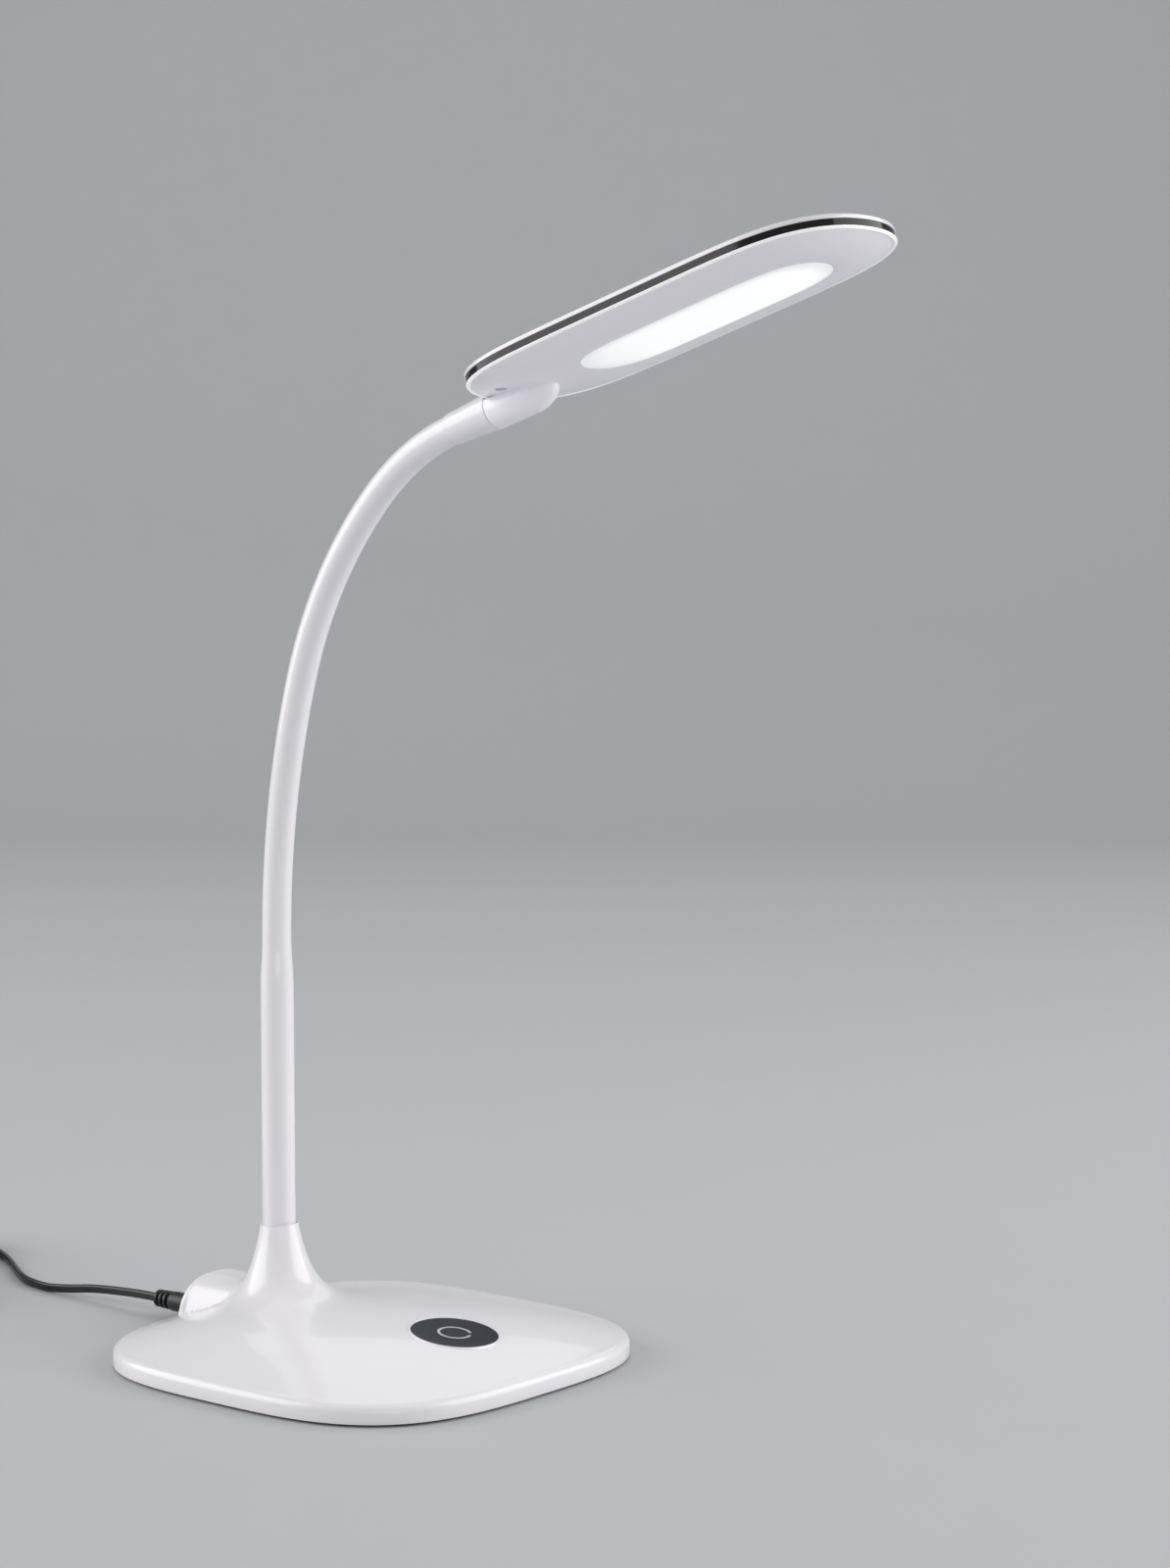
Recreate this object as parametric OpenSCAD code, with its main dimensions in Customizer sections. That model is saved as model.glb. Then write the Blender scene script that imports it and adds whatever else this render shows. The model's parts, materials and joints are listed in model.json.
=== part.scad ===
// Gooseneck desk lamp: a domed base with a touch disc, a flexible neck and a long slim head.
// Millimetres. X points forwards, from the neck towards the head's tip, Y to the lamp's left, Z up.
// The origin is the centre of the resting face.

/* [Base] */
// Length of the base along X
base_len = 174; // [166:1:190]
// Width of the base along Y
base_wid = 176; // [166:1:190]
// Squareness of the outline, where 2 is an ellipse
base_power = 3.25; // [2.9:0.05:4]
// Height of the rim's rounded top edge
rim_top = 7.6; // [7.4:0.1:9]
// Radius of the rim's rounding
rim_round = 3.2; // [2.6:0.1:3.6]
// Rise of the dome above the rim
dome_rise = 12.2; // [9:0.1:13]
// Wall of the base cover
cover_wall = 2.2; // [1.9:0.1:2.4]
// Gap between the table and the cover's lower edge
cover_lift = 1.0; // [0.9:0.1:1.3]
// Thickness of the rest pad
pad_t = 0.8; // [0.6:0.1:1]
// Thickness of the base plate
plate_t = 2.0; // [1.8:0.1:2.2]
// Thickness of the steel ballast
ballast_t = 3.0; // [2:0.1:3.2]

/* [Cable hump] */
// Height of the hump over the power socket
hump_top = 22.8; // [19:0.2:24]
// Half of the hump's width at the table
hump_half = 18.5; // [16:0.5:21]
// Height of the power socket's axis
jack_z = 6.6; // [5.4:0.1:7]
// Outer radius of the power socket
jack_r = 3.5; // [3.3:0.1:3.6]

/* [Touch control] */
// Distance of the touch disc in front of the base's centre
touch_x = 42; // [36:0.5:48]
// Radius of the touch disc
touch_r = 16.8; // [14:0.1:18]
// Thickness of the touch disc
touch_t = 1.0; // [0.8:0.1:1.1]
// Mean radius of the ring mark
ring_r = 6.1; // [5:0.1:8]
// Width of the ring mark
ring_w = 0.9; // [0.6:0.1:1.4]

/* [Neck] */
// Distance of the neck's axis behind the base's centre
neck_back = 49.5; // [46:0.5:52]
// Height of the collar's top
collar_top = 46.6; // [42:0.2:50]
// Outer radius of the collar's top
collar_r = 7.5; // [7.4:0.1:8.4]
// Distance over which the collar's flare dies away
flare_len = 5.8; // [5:0.1:7]
// Radius of the sleeve over the rigid tube
foot_r = 6.5; // [6.2:0.1:6.7]
// Height of the rigid tube's top
tube_top = 142; // [120:1:143]
// Radius of the sleeve over the flexible core
sleeve_r = 5.7; // [5.4:0.1:5.9]
// Outer radius of the flexible core
core_r = 4.0; // [3.6:0.1:4.1]
// Radius of the lead in the core
lead_r = 1.7; // [1.3:0.1:1.8]
// Height of the neck's first bend
first_bend_z = 160.3; // [157:0.1:170]
// Length of each of the three lower links
low_link = 34.7; // [30:0.1:40]
// Bend of each lower link as the neck stands
low_bend = 5.3; // [2:0.1:8]
// Length of each of the two middle links
mid_link = 42.1; // [36:0.1:48]
// Bend of each middle link as the neck stands
mid_bend = 14; // [8:0.1:18]
// Length of each of the two upper links
top_link = 23.2; // [22.6:0.1:34]
// Bend of each upper link as the neck stands
top_bend = 13.5; // [8:0.1:18]
// Length of the flared end sleeve
ferrule_len = 20; // [20:0.5:26]

/* [Head] */
// Turn of the head about its swivel as the lamp stands
head_roll = -5; // [-12:1:12]
// Length of the head
head_len = 179; // [170:1:200]
// Width of the head
head_wid = 73; // [66:1:80]
// Height of the head's rim above the swivel's axis
rim_rise = 4.4; // [4.2:0.1:5]
// Depth of the underside below the rim
belly = 4.8; // [4.5:0.1:5]
// Height of the dark trim band
trim_h = 2.2; // [1.6:0.1:2.6]
// Height of the top shell's upright edge
edge_h = 1.3; // [1:0.1:1.8]
// Rise of the top shell's dome
crown = 4.4; // [4:0.1:6]
// Wall of both head shells
shell_wall = 1.8; // [1.4:0.1:1.9]
// Outer radius of the swivel housing
housing_r = 7.3; // [7.1:0.1:8.6]
// Length of the swivel housing under the head
housing_len = 31; // [26:0.5:34]
// Radius of the swivel pin
pin_r = 3.5; // [3.2:0.1:3.6]

/* [Light] */
// Length of the light window
window_len = 109; // [96:1:114]
// Width of the light window
window_wid = 33; // [28:1:36]
// Distance of the window's centre in front of the head's centre
window_fore = 12; // [8:0.5:14]
// Number of light sources in each of two rows
led_count = 14; // [8:1:16]

/* [Cord] */
// Width of the cord
cord_w = 3.6; // [3.6:0.1:3.6]
// Thickness of the cord
cord_t = 2.6; // [2.6:0.1:2.6]
// Radius of the plug's grip
plug_r = 4.0; // [3.8:0.1:4.6]
// Length of the plug's grip
plug_len = 22; // [20:1:28]
// Length of the power adapter
adapter_len = 72; // [60:1:80]
// Width of the power adapter
adapter_wid = 42; // [36:1:46]
// Height of the power adapter
adapter_h = 28; // [26:1:32]

/* [Hidden] */
LINKS = 7;
$fn = 48;

// ---- clearances ----
fit = 0.15;        // between fixed pieces that are pushed together
run_gap = 0.3;     // between pieces that move past each other
pin_gap = 0.08;    // round the swivel pin
overlap = 0.02;    // by which stretches of one solid run into each other

// ---- shared helpers ----
function lerp(a, b, t) = a + (b - a) * t;
function ease(t) = t * t * (3 - 2 * t);
function clamp(t) = min(1, max(0, t));
function sgn_pow(v, p) = sign(v) * pow(abs(v), p);
function smooth_max(a, b, k) = max(a, b) + k * ln(1 + exp(-abs(a - b) / k));

// Closes a stack of equal rings into a solid: the last ring meets the first one.
module ring_grid(rings) {
    m = len(rings);
    n = len(rings[0]);
    points = [for (ring = rings) each ring];
    faces = [for (i = [0 : m - 1]) for (j = [0 : n - 1])
        let (i2 = (i + 1) % m, j2 = (j + 1) % n)
        each [[i * n + j, i * n + j2, i2 * n + j2], [i * n + j, i2 * n + j2, i2 * n + j]]];
    polyhedron(points, faces, convexity = 8);
}

// Closes a stack of equal rings into a solid with a pole at each end.
module ring_stack(first, rings, last) {
    m = len(rings);
    n = len(rings[0]);
    points = concat([first], [for (ring = rings) each ring], [last]);
    end = m * n + 1;
    faces = concat(
        [for (j = [0 : n - 1]) [0, 1 + (j + 1) % n, 1 + j]],
        [for (i = [0 : m - 2]) for (j = [0 : n - 1])
            let (a = 1 + i * n + j, b = 1 + i * n + (j + 1) % n)
            each [[a, b, b + n], [a, b + n, a + n]]],
        [for (j = [0 : n - 1]) [end, 1 + (m - 1) * n + j, 1 + (m - 1) * n + (j + 1) % n]]);
    polyhedron(points, faces, convexity = 6);
}

// A wire along straight stretches, with a ball at each corner.
module wire(points, r) {
    for (i = [1 : len(points) - 1]) {
        d = points[i] - points[i - 1];
        turn = atan2(norm([d[0], d[1]]), d[2]);
        translate(points[i - 1]) rotate([0, turn, atan2(d[1], d[0])]) cylinder(r = r, h = norm(d), $fn = 16);
        if (i < len(points) - 1) translate(points[i]) sphere(r = r + overlap, $fn = 16);
    }
}

module tube(ro, ri, h) {
    difference() {
        cylinder(r = ro, h = h);
        translate([0, 0, -1]) cylinder(r = ri, h = h + 2);
    }
}

// ---- base ----
base_a = base_len / 2;
base_b = base_wid / 2;
dome_power = 2.1;
hump_power = 2.9;
blend_k = 1.2;
foot_bore = foot_r + 0.1;
plate_z = pad_t;
ballast_z = plate_z + plate_t;
deck_z = ballast_z + ballast_t;
ballast_inset = 16;
flange_t = 2.5;
pad_inset = 6;
jack_len = 14;

function norm_radius(x, y, a, b, m) = pow(pow(abs(x / a), m) + pow(abs(y / b), m), 1 / m);
function outline(inset, n) = [for (i = [0 : n - 1]) let (t = i * 360 / n)
    [cos(t), sin(t)] / norm_radius(cos(t), sin(t), base_a - inset, base_b - inset, base_power)];

function dome_z(x, y) = rim_top
    + dome_rise * (1 - pow(norm_radius(x, y, base_a, base_b, base_power), dome_power));
flare_h = collar_top - dome_z(-neck_back, 0);
function flare_z(r) = flare_h * exp((collar_r - r) / flare_len);
function hump_arch(y, half, top) = abs(y) >= half ? 0
    : top * pow(1 - pow(abs(y) / half, hump_power), 1 / hump_power);
function hump_z(x, y, inset) = hump_arch(y, hump_half - inset, hump_top - inset)
    * (1 - ease(clamp((x + neck_back + 10) / 18)));
function cover_z(x, y, inset) = smooth_max(
    dome_z(x, y) - inset + flare_z(norm([x + neck_back, y]) + inset), hump_z(x, y, inset), blend_k);

// Directions from the neck's axis: close together behind it, where the hump is.
rear_step = 1.7;
rear_count = 16;
front_count = 44;
cover_dirs = concat(
    [for (i = [-rear_count : rear_count]) 180 + i * rear_step],
    [for (i = [1 : front_count - 1])
        180 + rear_count * rear_step + i * (360 - 2 * rear_count * rear_step) / front_count]);
function reach(t, lo, hi, k) = k == 0 ? lo
    : let (mid = (lo + hi) / 2)
      norm_radius(mid * cos(t) - neck_back, mid * sin(t), base_a, base_b, base_power) < 1
          ? reach(t, mid, hi, k - 1) : reach(t, lo, mid, k - 1);
cover_reach = [for (t = cover_dirs) reach(t, 0, 2 * base_len, 26)];
function around(radii) = [for (i = [0 : len(cover_dirs) - 1])
    [radii[i] * cos(cover_dirs[i]) - neck_back, radii[i] * sin(cover_dirs[i])]];
function raise(flat, z) = [for (i = [0 : len(flat) - 1]) [flat[i][0], flat[i][1], z[i]]];
function same(v) = [for (t = cover_dirs) v];
function inset_by(d) = [for (r = cover_reach) r - d];
edge_z = let (p = around(inset_by(rim_round))) [for (q = p) cover_z(q[0], q[1], 0)];
function skin_ring(r0, inset, share, depth) =
    let (p = around([for (r = cover_reach) lerp(r0, r - inset, share)]))
    raise(p, [for (q = p) cover_z(q[0], q[1], depth)]);

module cover_skin() {
    top_steps = 19;
    under_steps = 10;
    ring_grid(concat(
        [for (i = [0 : top_steps]) skin_ring(collar_r, rim_round, pow(i / top_steps, 1.7), 0)],
        [for (a = [30, 60, 90]) raise(around(inset_by(rim_round * (1 - sin(a)))),
            [for (z = edge_z) z - rim_round * (1 - cos(a))])],
        [raise(around(inset_by(0)), same(cover_lift)),
         raise(around(inset_by(cover_wall)), same(cover_lift)),
         raise(around(inset_by(cover_wall)), [for (z = edge_z) z - rim_round])],
        [for (i = [under_steps : -1 : 0])
            skin_ring(foot_bore, rim_round + 0.6, pow(i / under_steps, 1.6), cover_wall)],
        [raise(around(same(foot_bore)), same(collar_top))]));
}

boss_share = 0.872;
boss_r = 3.2;
boss_top = dome_z(boss_spot(1)[0], boss_spot(1)[1]) - 1.2;
function boss_spot(i) = let (t = 45 + 90 * i)
    boss_share * [cos(t), sin(t)] / norm_radius(cos(t), sin(t), base_a, base_b, base_power);
screw_hole_r = 1.3;
screw_r = 1.25;
screw_head_r = 2.8;
screw_head_h = 1.2;
foot_screw_spots = [for (i = [0 : 2]) 11.5 * [cos(120 * i), sin(120 * i)] - [neck_back, 0]];
foot_screw_r = 1.9;

// The touch disc lies along the dome, so its seat leans as the dome does there.
touch_lean = atan((dome_z(touch_x - 1, 0) - dome_z(touch_x + 1, 0)) / 2);
touch_z = dome_z(touch_x, 0) - 0.1;
seat_w = 2.4;
module touch_frame() { translate([touch_x, 0, touch_z]) rotate([0, touch_lean, 0]) children(); }

module base_cover() {
    color("white") difference() {
        union() {
            cover_skin();
            for (i = [0 : 3]) translate([boss_spot(i)[0], boss_spot(i)[1], ballast_z])
                cylinder(r = boss_r, h = boss_top - ballast_z);
        }
        for (i = [0 : 3]) translate([boss_spot(i)[0], boss_spot(i)[1], 0])
            cylinder(r = screw_hole_r, h = boss_top - 0.6);
        translate([-base_a - 5, 0, jack_z]) rotate([0, 90, 0]) cylinder(r = jack_r + fit, h = 20);
        touch_frame() {
            translate([0, 0, -touch_t]) cylinder(r = touch_r + fit, h = 12);
            translate([0, 0, -6]) cylinder(r = touch_r - seat_w, h = 12);
        }
    }
}

module base_plate() {
    color("gainsboro") difference() {
        translate([0, 0, plate_z]) linear_extrude(plate_t) polygon(outline(cover_wall + run_gap + 0.1, 72));
        for (i = [0 : 3]) translate([boss_spot(i)[0], boss_spot(i)[1], 0]) {
            cylinder(r = screw_hole_r + 0.3, h = 10);
            cylinder(r = screw_head_r + 0.2, h = plate_z + screw_head_h + 0.1);
        }
        for (p = foot_screw_spots) translate([p[0], p[1], 0]) {
            cylinder(r = foot_screw_r + 0.2, h = 10);
            cylinder(r = screw_head_r + 0.7, h = plate_z + screw_head_h + 0.1);
        }
        translate([-base_a - 1, -jack_r - 0.4, 0]) cube([jack_len + 2, 2 * jack_r + 0.8, 10]);
    }
}

module rest_pad() {
    color("dimgray") linear_extrude(pad_t) polygon(outline(pad_inset, 72));
}

module ballast_plate() {
    color("slategray") difference() {
        translate([0, 0, ballast_z]) linear_extrude(ballast_t) polygon(outline(ballast_inset, 72));
        for (p = foot_screw_spots) translate([p[0], p[1], 0]) cylinder(r = foot_screw_r + 0.2, h = 10);
    }
}

module screw(head_r, head_h, shank_r, length) {
    cylinder(r = head_r, h = head_h);
    cylinder(r = shank_r, h = length);
}

module plate_screws() {
    color("silver") for (i = [0 : 3]) translate([boss_spot(i)[0], boss_spot(i)[1], plate_z + 0.1])
        screw(screw_head_r, screw_head_h, screw_r, boss_top - plate_z - 1.2);
}

module foot_screws() {
    color("silver") for (p = foot_screw_spots) translate([p[0], p[1], plate_z + 0.1])
        screw(screw_head_r + 0.5, screw_head_h, foot_screw_r, deck_z + flange_t - plate_z - 0.3);
}

// ---- touch control ----
ring_depth = 0.5;
notch_angle = 26;
notch_turn = 39;
module ring_mark(r0, r1, h, notch) {
    rotate([0, 0, notch_turn + notch / 2]) rotate_extrude(angle = 360 - notch) translate([r0, 0])
        square([r1 - r0, h]);
}

module touch_lens() {
    color([0.12, 0.12, 0.13]) touch_frame() difference() {
        translate([0, 0, -touch_t]) cylinder(r = touch_r, h = touch_t);
        translate([0, 0, -ring_depth]) ring_mark(ring_r - ring_w / 2, ring_r + ring_w / 2, 1, notch_angle);
    }
}

module touch_ring() {
    color("darkgray") touch_frame() translate([0, 0, -ring_depth])
        ring_mark(ring_r - ring_w / 2 + 0.03, ring_r + ring_w / 2 - 0.03, ring_depth, notch_angle + 1);
}

board_t = 1.6;
module touch_board() {
    color("darkgreen") touch_frame() translate([0, 0, -touch_t - board_t]) {
        cylinder(r = touch_r - seat_w - fit, h = board_t);
        translate([-3, -3, -1.1]) cube([6, 6, 1.2]);
    }
}

// ---- power in the base ----
barrel_r = 2.75;
barrel_len = 9.5;
jack_face = -base_a - 0.1;
module power_jack() {
    color([0.1, 0.1, 0.1]) translate([jack_face, 0, jack_z]) rotate([0, 90, 0]) {
        difference() {
            cylinder(r = jack_r, h = jack_len);
            translate([0, 0, -1]) cylinder(r = barrel_r + 0.05, h = barrel_len + 1.5);
        }
        cylinder(r = 0.9, h = jack_len - 1);
    }
}

driver_at = [-4, 42];
driver_size = [44, 26];
standoff_h = 1.4;
driver_z = deck_z + standoff_h;
driver_holes = [for (sx = [-1, 1]) for (sy = [-1, 1])
    driver_at + [sx * (driver_size[0] / 2 - 3.5), sy * (driver_size[1] / 2 - 3.5)]];
module driver_board() {
    color("darkgreen") difference() {
        translate([driver_at[0] - driver_size[0] / 2, driver_at[1] - driver_size[1] / 2, driver_z])
            cube([driver_size[0], driver_size[1], board_t]);
        for (p = driver_holes) translate([p[0], p[1], 0]) cylinder(r = 1.3, h = 20);
    }
}

module driver_parts() {
    color([0.2, 0.2, 0.22]) translate([driver_at[0], driver_at[1], driver_z + board_t]) {
        translate([-11, 3, 0]) cylinder(r = 4.5, h = 2.6);
        translate([3, -5, 0]) cube([8, 6, 1.4]);
        translate([-9, -10, 0]) cube([9, 5, 2.4]);
        translate([4, 5, 0]) cylinder(r = 2.6, h = 2.6);
    }
}

// Each post stands on the ballast and holds a corner of the driver board with its screw.
module board_screws() {
    color("silver") for (p = driver_holes) translate([p[0], p[1], deck_z]) {
        cylinder(r = 2.4, h = standoff_h);
        cylinder(r = 1.2, h = standoff_h + board_t + 0.1);
        translate([0, 0, standoff_h + board_t]) cylinder(r = 2.1, h = 0.9);
    }
}

lead_out_z = deck_z + flange_t + lead_r + 0.2;
lead_bend = 6;
lead_clear = 0.65;  // lets the slanted end of a base lead clear its board
module base_leads() {
    jack_end = jack_face + jack_len;
    color("firebrick") wire([[jack_end, 0, jack_z + 1.2], [jack_end + 1.6, 0, jack_z + 1.2],
        [jack_end + 1.6, 22, deck_z + 1.4], [jack_end + 10, 36, deck_z + 1.4],
        [driver_at[0] - driver_size[0] / 2 - 0.2, 42, driver_z + 0.8]], 0.7);
    color("navy") wire([[driver_at[0] + driver_size[0] / 2 + lead_clear, 38, driver_z + 0.8],
        [touch_x - 8, 20, deck_z + 1.4], [touch_x - 2, 4.6, deck_z + 1.4],
        [touch_x - 2, 4.6, touch_z - touch_t - board_t - 0.1]], 0.7);
}

// ---- neck foot ----
flange_r = 17;
tube_gap = 0.1;
tube_ri = core_r + tube_gap;
tube_ro = foot_r - 1.1;
sleeve_ri = core_r + tube_gap;
core_ri = core_r - 1.6;
core_in = 30;
module foot_tube() {
    color("silver") translate([-neck_back, 0, deck_z]) difference() {
        union() {
            cylinder(r = flange_r, h = flange_t);
            cylinder(r = tube_ro, h = tube_top - deck_z);
        }
        translate([0, 0, -1]) cylinder(r = tube_ri, h = tube_top);
        translate([-lead_r - 0.5, 0, flange_t]) cube([2 * lead_r + 1, tube_ro + 2, 14]);
        for (p = foot_screw_spots) translate([p[0] + neck_back, p[1], -1])
            cylinder(r = foot_screw_r + 0.05, h = flange_t + 2);
    }
}

// The spherical ends of a link share the centre of its bend, so the gap stays even as it bends.
ball_r = 6.6;
socket_r = ball_r + run_gap;
stub = 7;

module ball_end(r) {
    cylinder(r = r, h = stub);
    intersection() {
        translate([0, 0, stub - 1]) cylinder(r = r, h = ball_r + 1);
        translate([0, 0, stub]) sphere(r = ball_r);
    }
}

taper_z = first_bend_z - 18;
sleeve_in = 7;
module foot_sleeve() {
    color("white") translate([-neck_back, 0, 0]) difference() {
        union() {
            translate([0, 0, collar_top - sleeve_in]) cylinder(r = foot_r, h = taper_z - collar_top + sleeve_in);
            translate([0, 0, taper_z]) cylinder(r1 = foot_r, r2 = sleeve_r, h = first_bend_z - stub - taper_z);
            translate([0, 0, first_bend_z - stub]) ball_end(sleeve_r);
        }
        cylinder(r = tube_ro + 0.05, h = tube_top + 0.2);
        cylinder(r = sleeve_ri, h = first_bend_z + 20);
    }
}

module foot_core() {
    color("lightsteelblue") translate([-neck_back, 0, 0]) difference() {
        union() {
            translate([0, 0, tube_top - core_in]) cylinder(r = core_r, h = first_bend_z - stub - tube_top + core_in);
            translate([0, 0, first_bend_z - stub]) ball_end(core_r);
        }
        cylinder(r = core_ri, h = first_bend_z + 20);
    }
}

lead_end_y = driver_at[1] - driver_size[1] / 2 - 4;
module foot_lead() {
    bend_z = lead_out_z + lead_bend;
    color("ivory") translate([-neck_back, 0, 0]) {
        translate([0, 0, first_bend_z - stub]) ball_end(lead_r);
        wire([[0, 0, first_bend_z - stub], [0, 0, bend_z], [0, lead_bend, lead_out_z],
            [0, lead_end_y, lead_out_z], [neck_back + driver_at[0] - 6, lead_end_y, lead_out_z]], lead_r);
    }
}

// ---- neck links ----
link_len = [low_link, low_link, low_link, mid_link, mid_link, top_link, top_link];
link_bend = [low_bend, low_bend, low_bend, mid_bend, mid_bend, top_bend, top_bend];
function arc_r(k) = link_len[k] / (link_bend[k] * PI / 180);
function arc_end(k) = arc_r(k) * [1 - cos(link_bend[k]), sin(link_bend[k])];
function tilt(k) = k == 0 ? 0 : tilt(k - 1) + link_bend[k - 1];
function turn_xz(p, a) = [p[0] * cos(a) + p[1] * sin(a), p[1] * cos(a) - p[0] * sin(a)];
function bend_at(k) = k == 0 ? [-neck_back, first_bend_z]
    : bend_at(k - 1) + turn_xz(arc_end(k - 1), tilt(k - 1));
last = LINKS - 1;
neck_tilt = tilt(LINKS);
neck_end = bend_at(LINKS);
swivel_at = neck_end + ferrule_len * [sin(neck_tilt), cos(neck_tilt)];

module link_frame(k) { translate([bend_at(k)[0], 0, bend_at(k)[1]]) rotate([0, tilt(k), 0]) children(); }
module link_tip(k) { translate([arc_end(k)[0], 0, arc_end(k)[1]]) rotate([0, link_bend[k], 0]) children(); }
module end_frame() { translate([neck_end[0], 0, neck_end[1]]) rotate([0, neck_tilt, 0]) children(); }

// An arc of tube from one angle to another, counted from the link's lower bend.
module arc_rod(k, r, from, to) {
    translate([arc_r(k), 0, 0]) rotate([90, 0, 0]) rotate([0, 0, 180 - to])
        rotate_extrude(angle = to - from, $fn = 360) translate([arc_r(k), 0]) circle(r = r);
}

// A link: hollow ball at its lower end, and a ball, or a straight tail, at its upper end.
module link_bar(k, r, tail) {
    over = (ball_r + 1) / arc_r(k) * 180 / PI;
    difference() {
        if (k == last) union() {
            arc_rod(k, r, 0, link_bend[k]);
            link_tip(k) translate([0, 0, -tail_in]) cylinder(r = r + overlap, h = tail + tail_in);
        }
        else intersection() {
            arc_rod(k, r, 0, link_bend[k] + over);
            link_tip(k) union() {
                sphere(r = ball_r);
                translate([-10 * ball_r, -10 * ball_r, -20 * ball_r]) cube(20 * ball_r);
            }
        }
        sphere(r = socket_r);
    }
}

module link_pipe(k, ro, ri, tail) {
    link_frame(k) difference() {
        link_bar(k, ro, tail);
        arc_rod(k, ri, -2, link_bend[k] + (k == last ? 0 : 30));
        if (k == last) link_tip(k) translate([0, 0, -tail_in]) cylinder(r = ri + overlap, h = tail + 5);
    }
}

tail_in = 0.5;
sleeve_tail = 6;
pin_tail = 7.6;
core_tail = ferrule_len - pin_tail - run_gap;
pin_reach = 14.5;
module neck_sleeve(k) { color("white") link_pipe(k, sleeve_r, sleeve_ri, sleeve_tail); }
module neck_core(k) { color("lightsteelblue") link_pipe(k, core_r, core_ri, core_tail); }
module neck_lead(k) { color("ivory") link_frame(k) link_bar(k, lead_r, ferrule_len + pin_reach - 0.5); }

// ---- swivel between neck and head ----
mouth_r = sleeve_r + 0.5;
flare_steps = 6;
mouth_back = 2;
module ferrule() {
    outer = [for (i = [0 : flare_steps]) let (s = i / flare_steps)
        [lerp(mouth_r, housing_r, pow(s, 1.3)), lerp(-mouth_back, ferrule_len - run_gap, s)]];
    color("white") end_frame() difference() {
        rotate_extrude() polygon(concat([[0, -mouth_back]], outer, [[0, ferrule_len - run_gap]]));
        translate([0, 0, -mouth_back - 1]) cylinder(r = sleeve_r + 0.08, h = sleeve_tail + mouth_back + 1.2);
        translate([0, 0, -1]) cylinder(r = core_r + 0.05, h = core_tail + 1.2);
        cylinder(r = pin_r + 0.05, h = ferrule_len + 1);
    }
}

clip_at = 12.3;
clip_t = 1.0;
pin_bore = lead_r + 0.4;
module swivel_pin() {
    color("silver") end_frame() difference() {
        translate([0, 0, ferrule_len - pin_tail]) cylinder(r = pin_r, h = pin_tail + pin_reach);
        cylinder(r = pin_bore, h = ferrule_len + pin_reach + 1);
        translate([0, 0, ferrule_len + clip_at - 0.05]) tube(pin_r + 1, pin_r - 0.5, clip_t + 0.1);
    }
}

module swivel_clip() {
    color("dimgray") end_frame() translate([0, 0, ferrule_len + clip_at]) tube(pin_r + 1.7, pin_r - 0.45, clip_t);
}

// ---- head ----
// The head's frame starts on the swivel's axis where the ferrule ends: X runs along the head.
module head_frame() {
    translate([swivel_at[0], 0, swivel_at[1]]) rotate([0, neck_tilt - 90, 0]) rotate([head_roll, 0, 0]) children();
}
head_a = head_len / 2;
head_b = head_wid / 2;
head_u = head_a + 0.3;
end_power = 5.8;
side_power = 2.1;
window_a = window_len / 2;
window_b = window_wid / 2;
window_u = head_u + window_fore;

// Angles round an outline: close together along the straight sides and even round the ends.
quarter_count = 14;
function side_angle(i) = 90 * (1 - pow(1 - i / quarter_count, 1.6));
head_angles = concat(
    [for (i = [0 : quarter_count]) side_angle(i)], [for (i = [quarter_count - 1 : -1 : 0]) 180 - side_angle(i)],
    [for (i = [1 : quarter_count]) 180 + side_angle(i)], [for (i = [quarter_count - 1 : -1 : 1]) 360 - side_angle(i)]);
function oval(t, a, b) = [a * sgn_pow(cos(t), 2 / end_power), b * sgn_pow(sin(t), 2 / side_power)];
function head_oval(inset) = [for (t = head_angles) oval(t, head_a - inset, head_b - inset) + [head_u, 0]];
function window_oval(inset) = [for (t = head_angles) oval(t, window_a - inset, window_b - inset) + [window_u, 0]];
function at_height(flat, z) = [for (p = flat) [p[0], p[1], z]];
function mix(p, q, s) = [for (i = [0 : len(p) - 1]) lerp(p[i], q[i], s)];
function backwards(v) = [for (i = [len(v) - 1 : -1 : 0]) v[i]];
function belly_z(s) = rim_rise - belly * (1 - s * s);

rim_edge = 0.7;
module head_skin() {
    steps = 9;
    win = window_oval(0);
    rim = head_oval(rim_edge);
    inner_rim = head_oval(shell_wall);
    ring_grid(backwards(concat(
        [for (i = [0 : steps]) let (s = i / steps) at_height(mix(win, rim, s), belly_z(s) - rim_edge * s)],
        [at_height(head_oval(rim_edge * 0.3), rim_rise - rim_edge * 0.7),
         at_height(head_oval(0), rim_rise - rim_edge * 0.05),
         at_height(head_oval(0), rim_rise),
         at_height(inner_rim, rim_rise)],
        [for (i = [steps - 1 : -2 : 0]) let (s = i / steps)
            at_height(mix(win, inner_rim, s), min(rim_rise - 0.05, belly_z(s) + shell_wall))])));
}

housing_top = 3.2;
nose = 12;
chamber_r = pin_r + 2.4;
chamber_from = clip_at - run_gap;
chamber_len = 9;
screw_u = 14.5;
screw_v = 12.4;
recess_r = 2.1;
function belly_at(u) = belly_z(clamp((window_u - window_a - u) / (window_u - window_a - 0.3)));

module housing() {
    intersection() {
        union() {
            rotate([0, 90, 0]) cylinder(r = housing_r, h = housing_len - nose);
            translate([housing_len - nose, 0, 0]) rotate([0, 90, 0])
                rotate_extrude() polygon(concat([[0, 0]],
                    [for (a = [0 : 10 : 90]) [housing_r * cos(a), nose * sin(a)]]));
        }
        translate([-1, -2 * housing_r, -2 * housing_r]) cube([2 * housing_len, 4 * housing_r, 2 * housing_r + housing_top]);
    }
}

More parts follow.
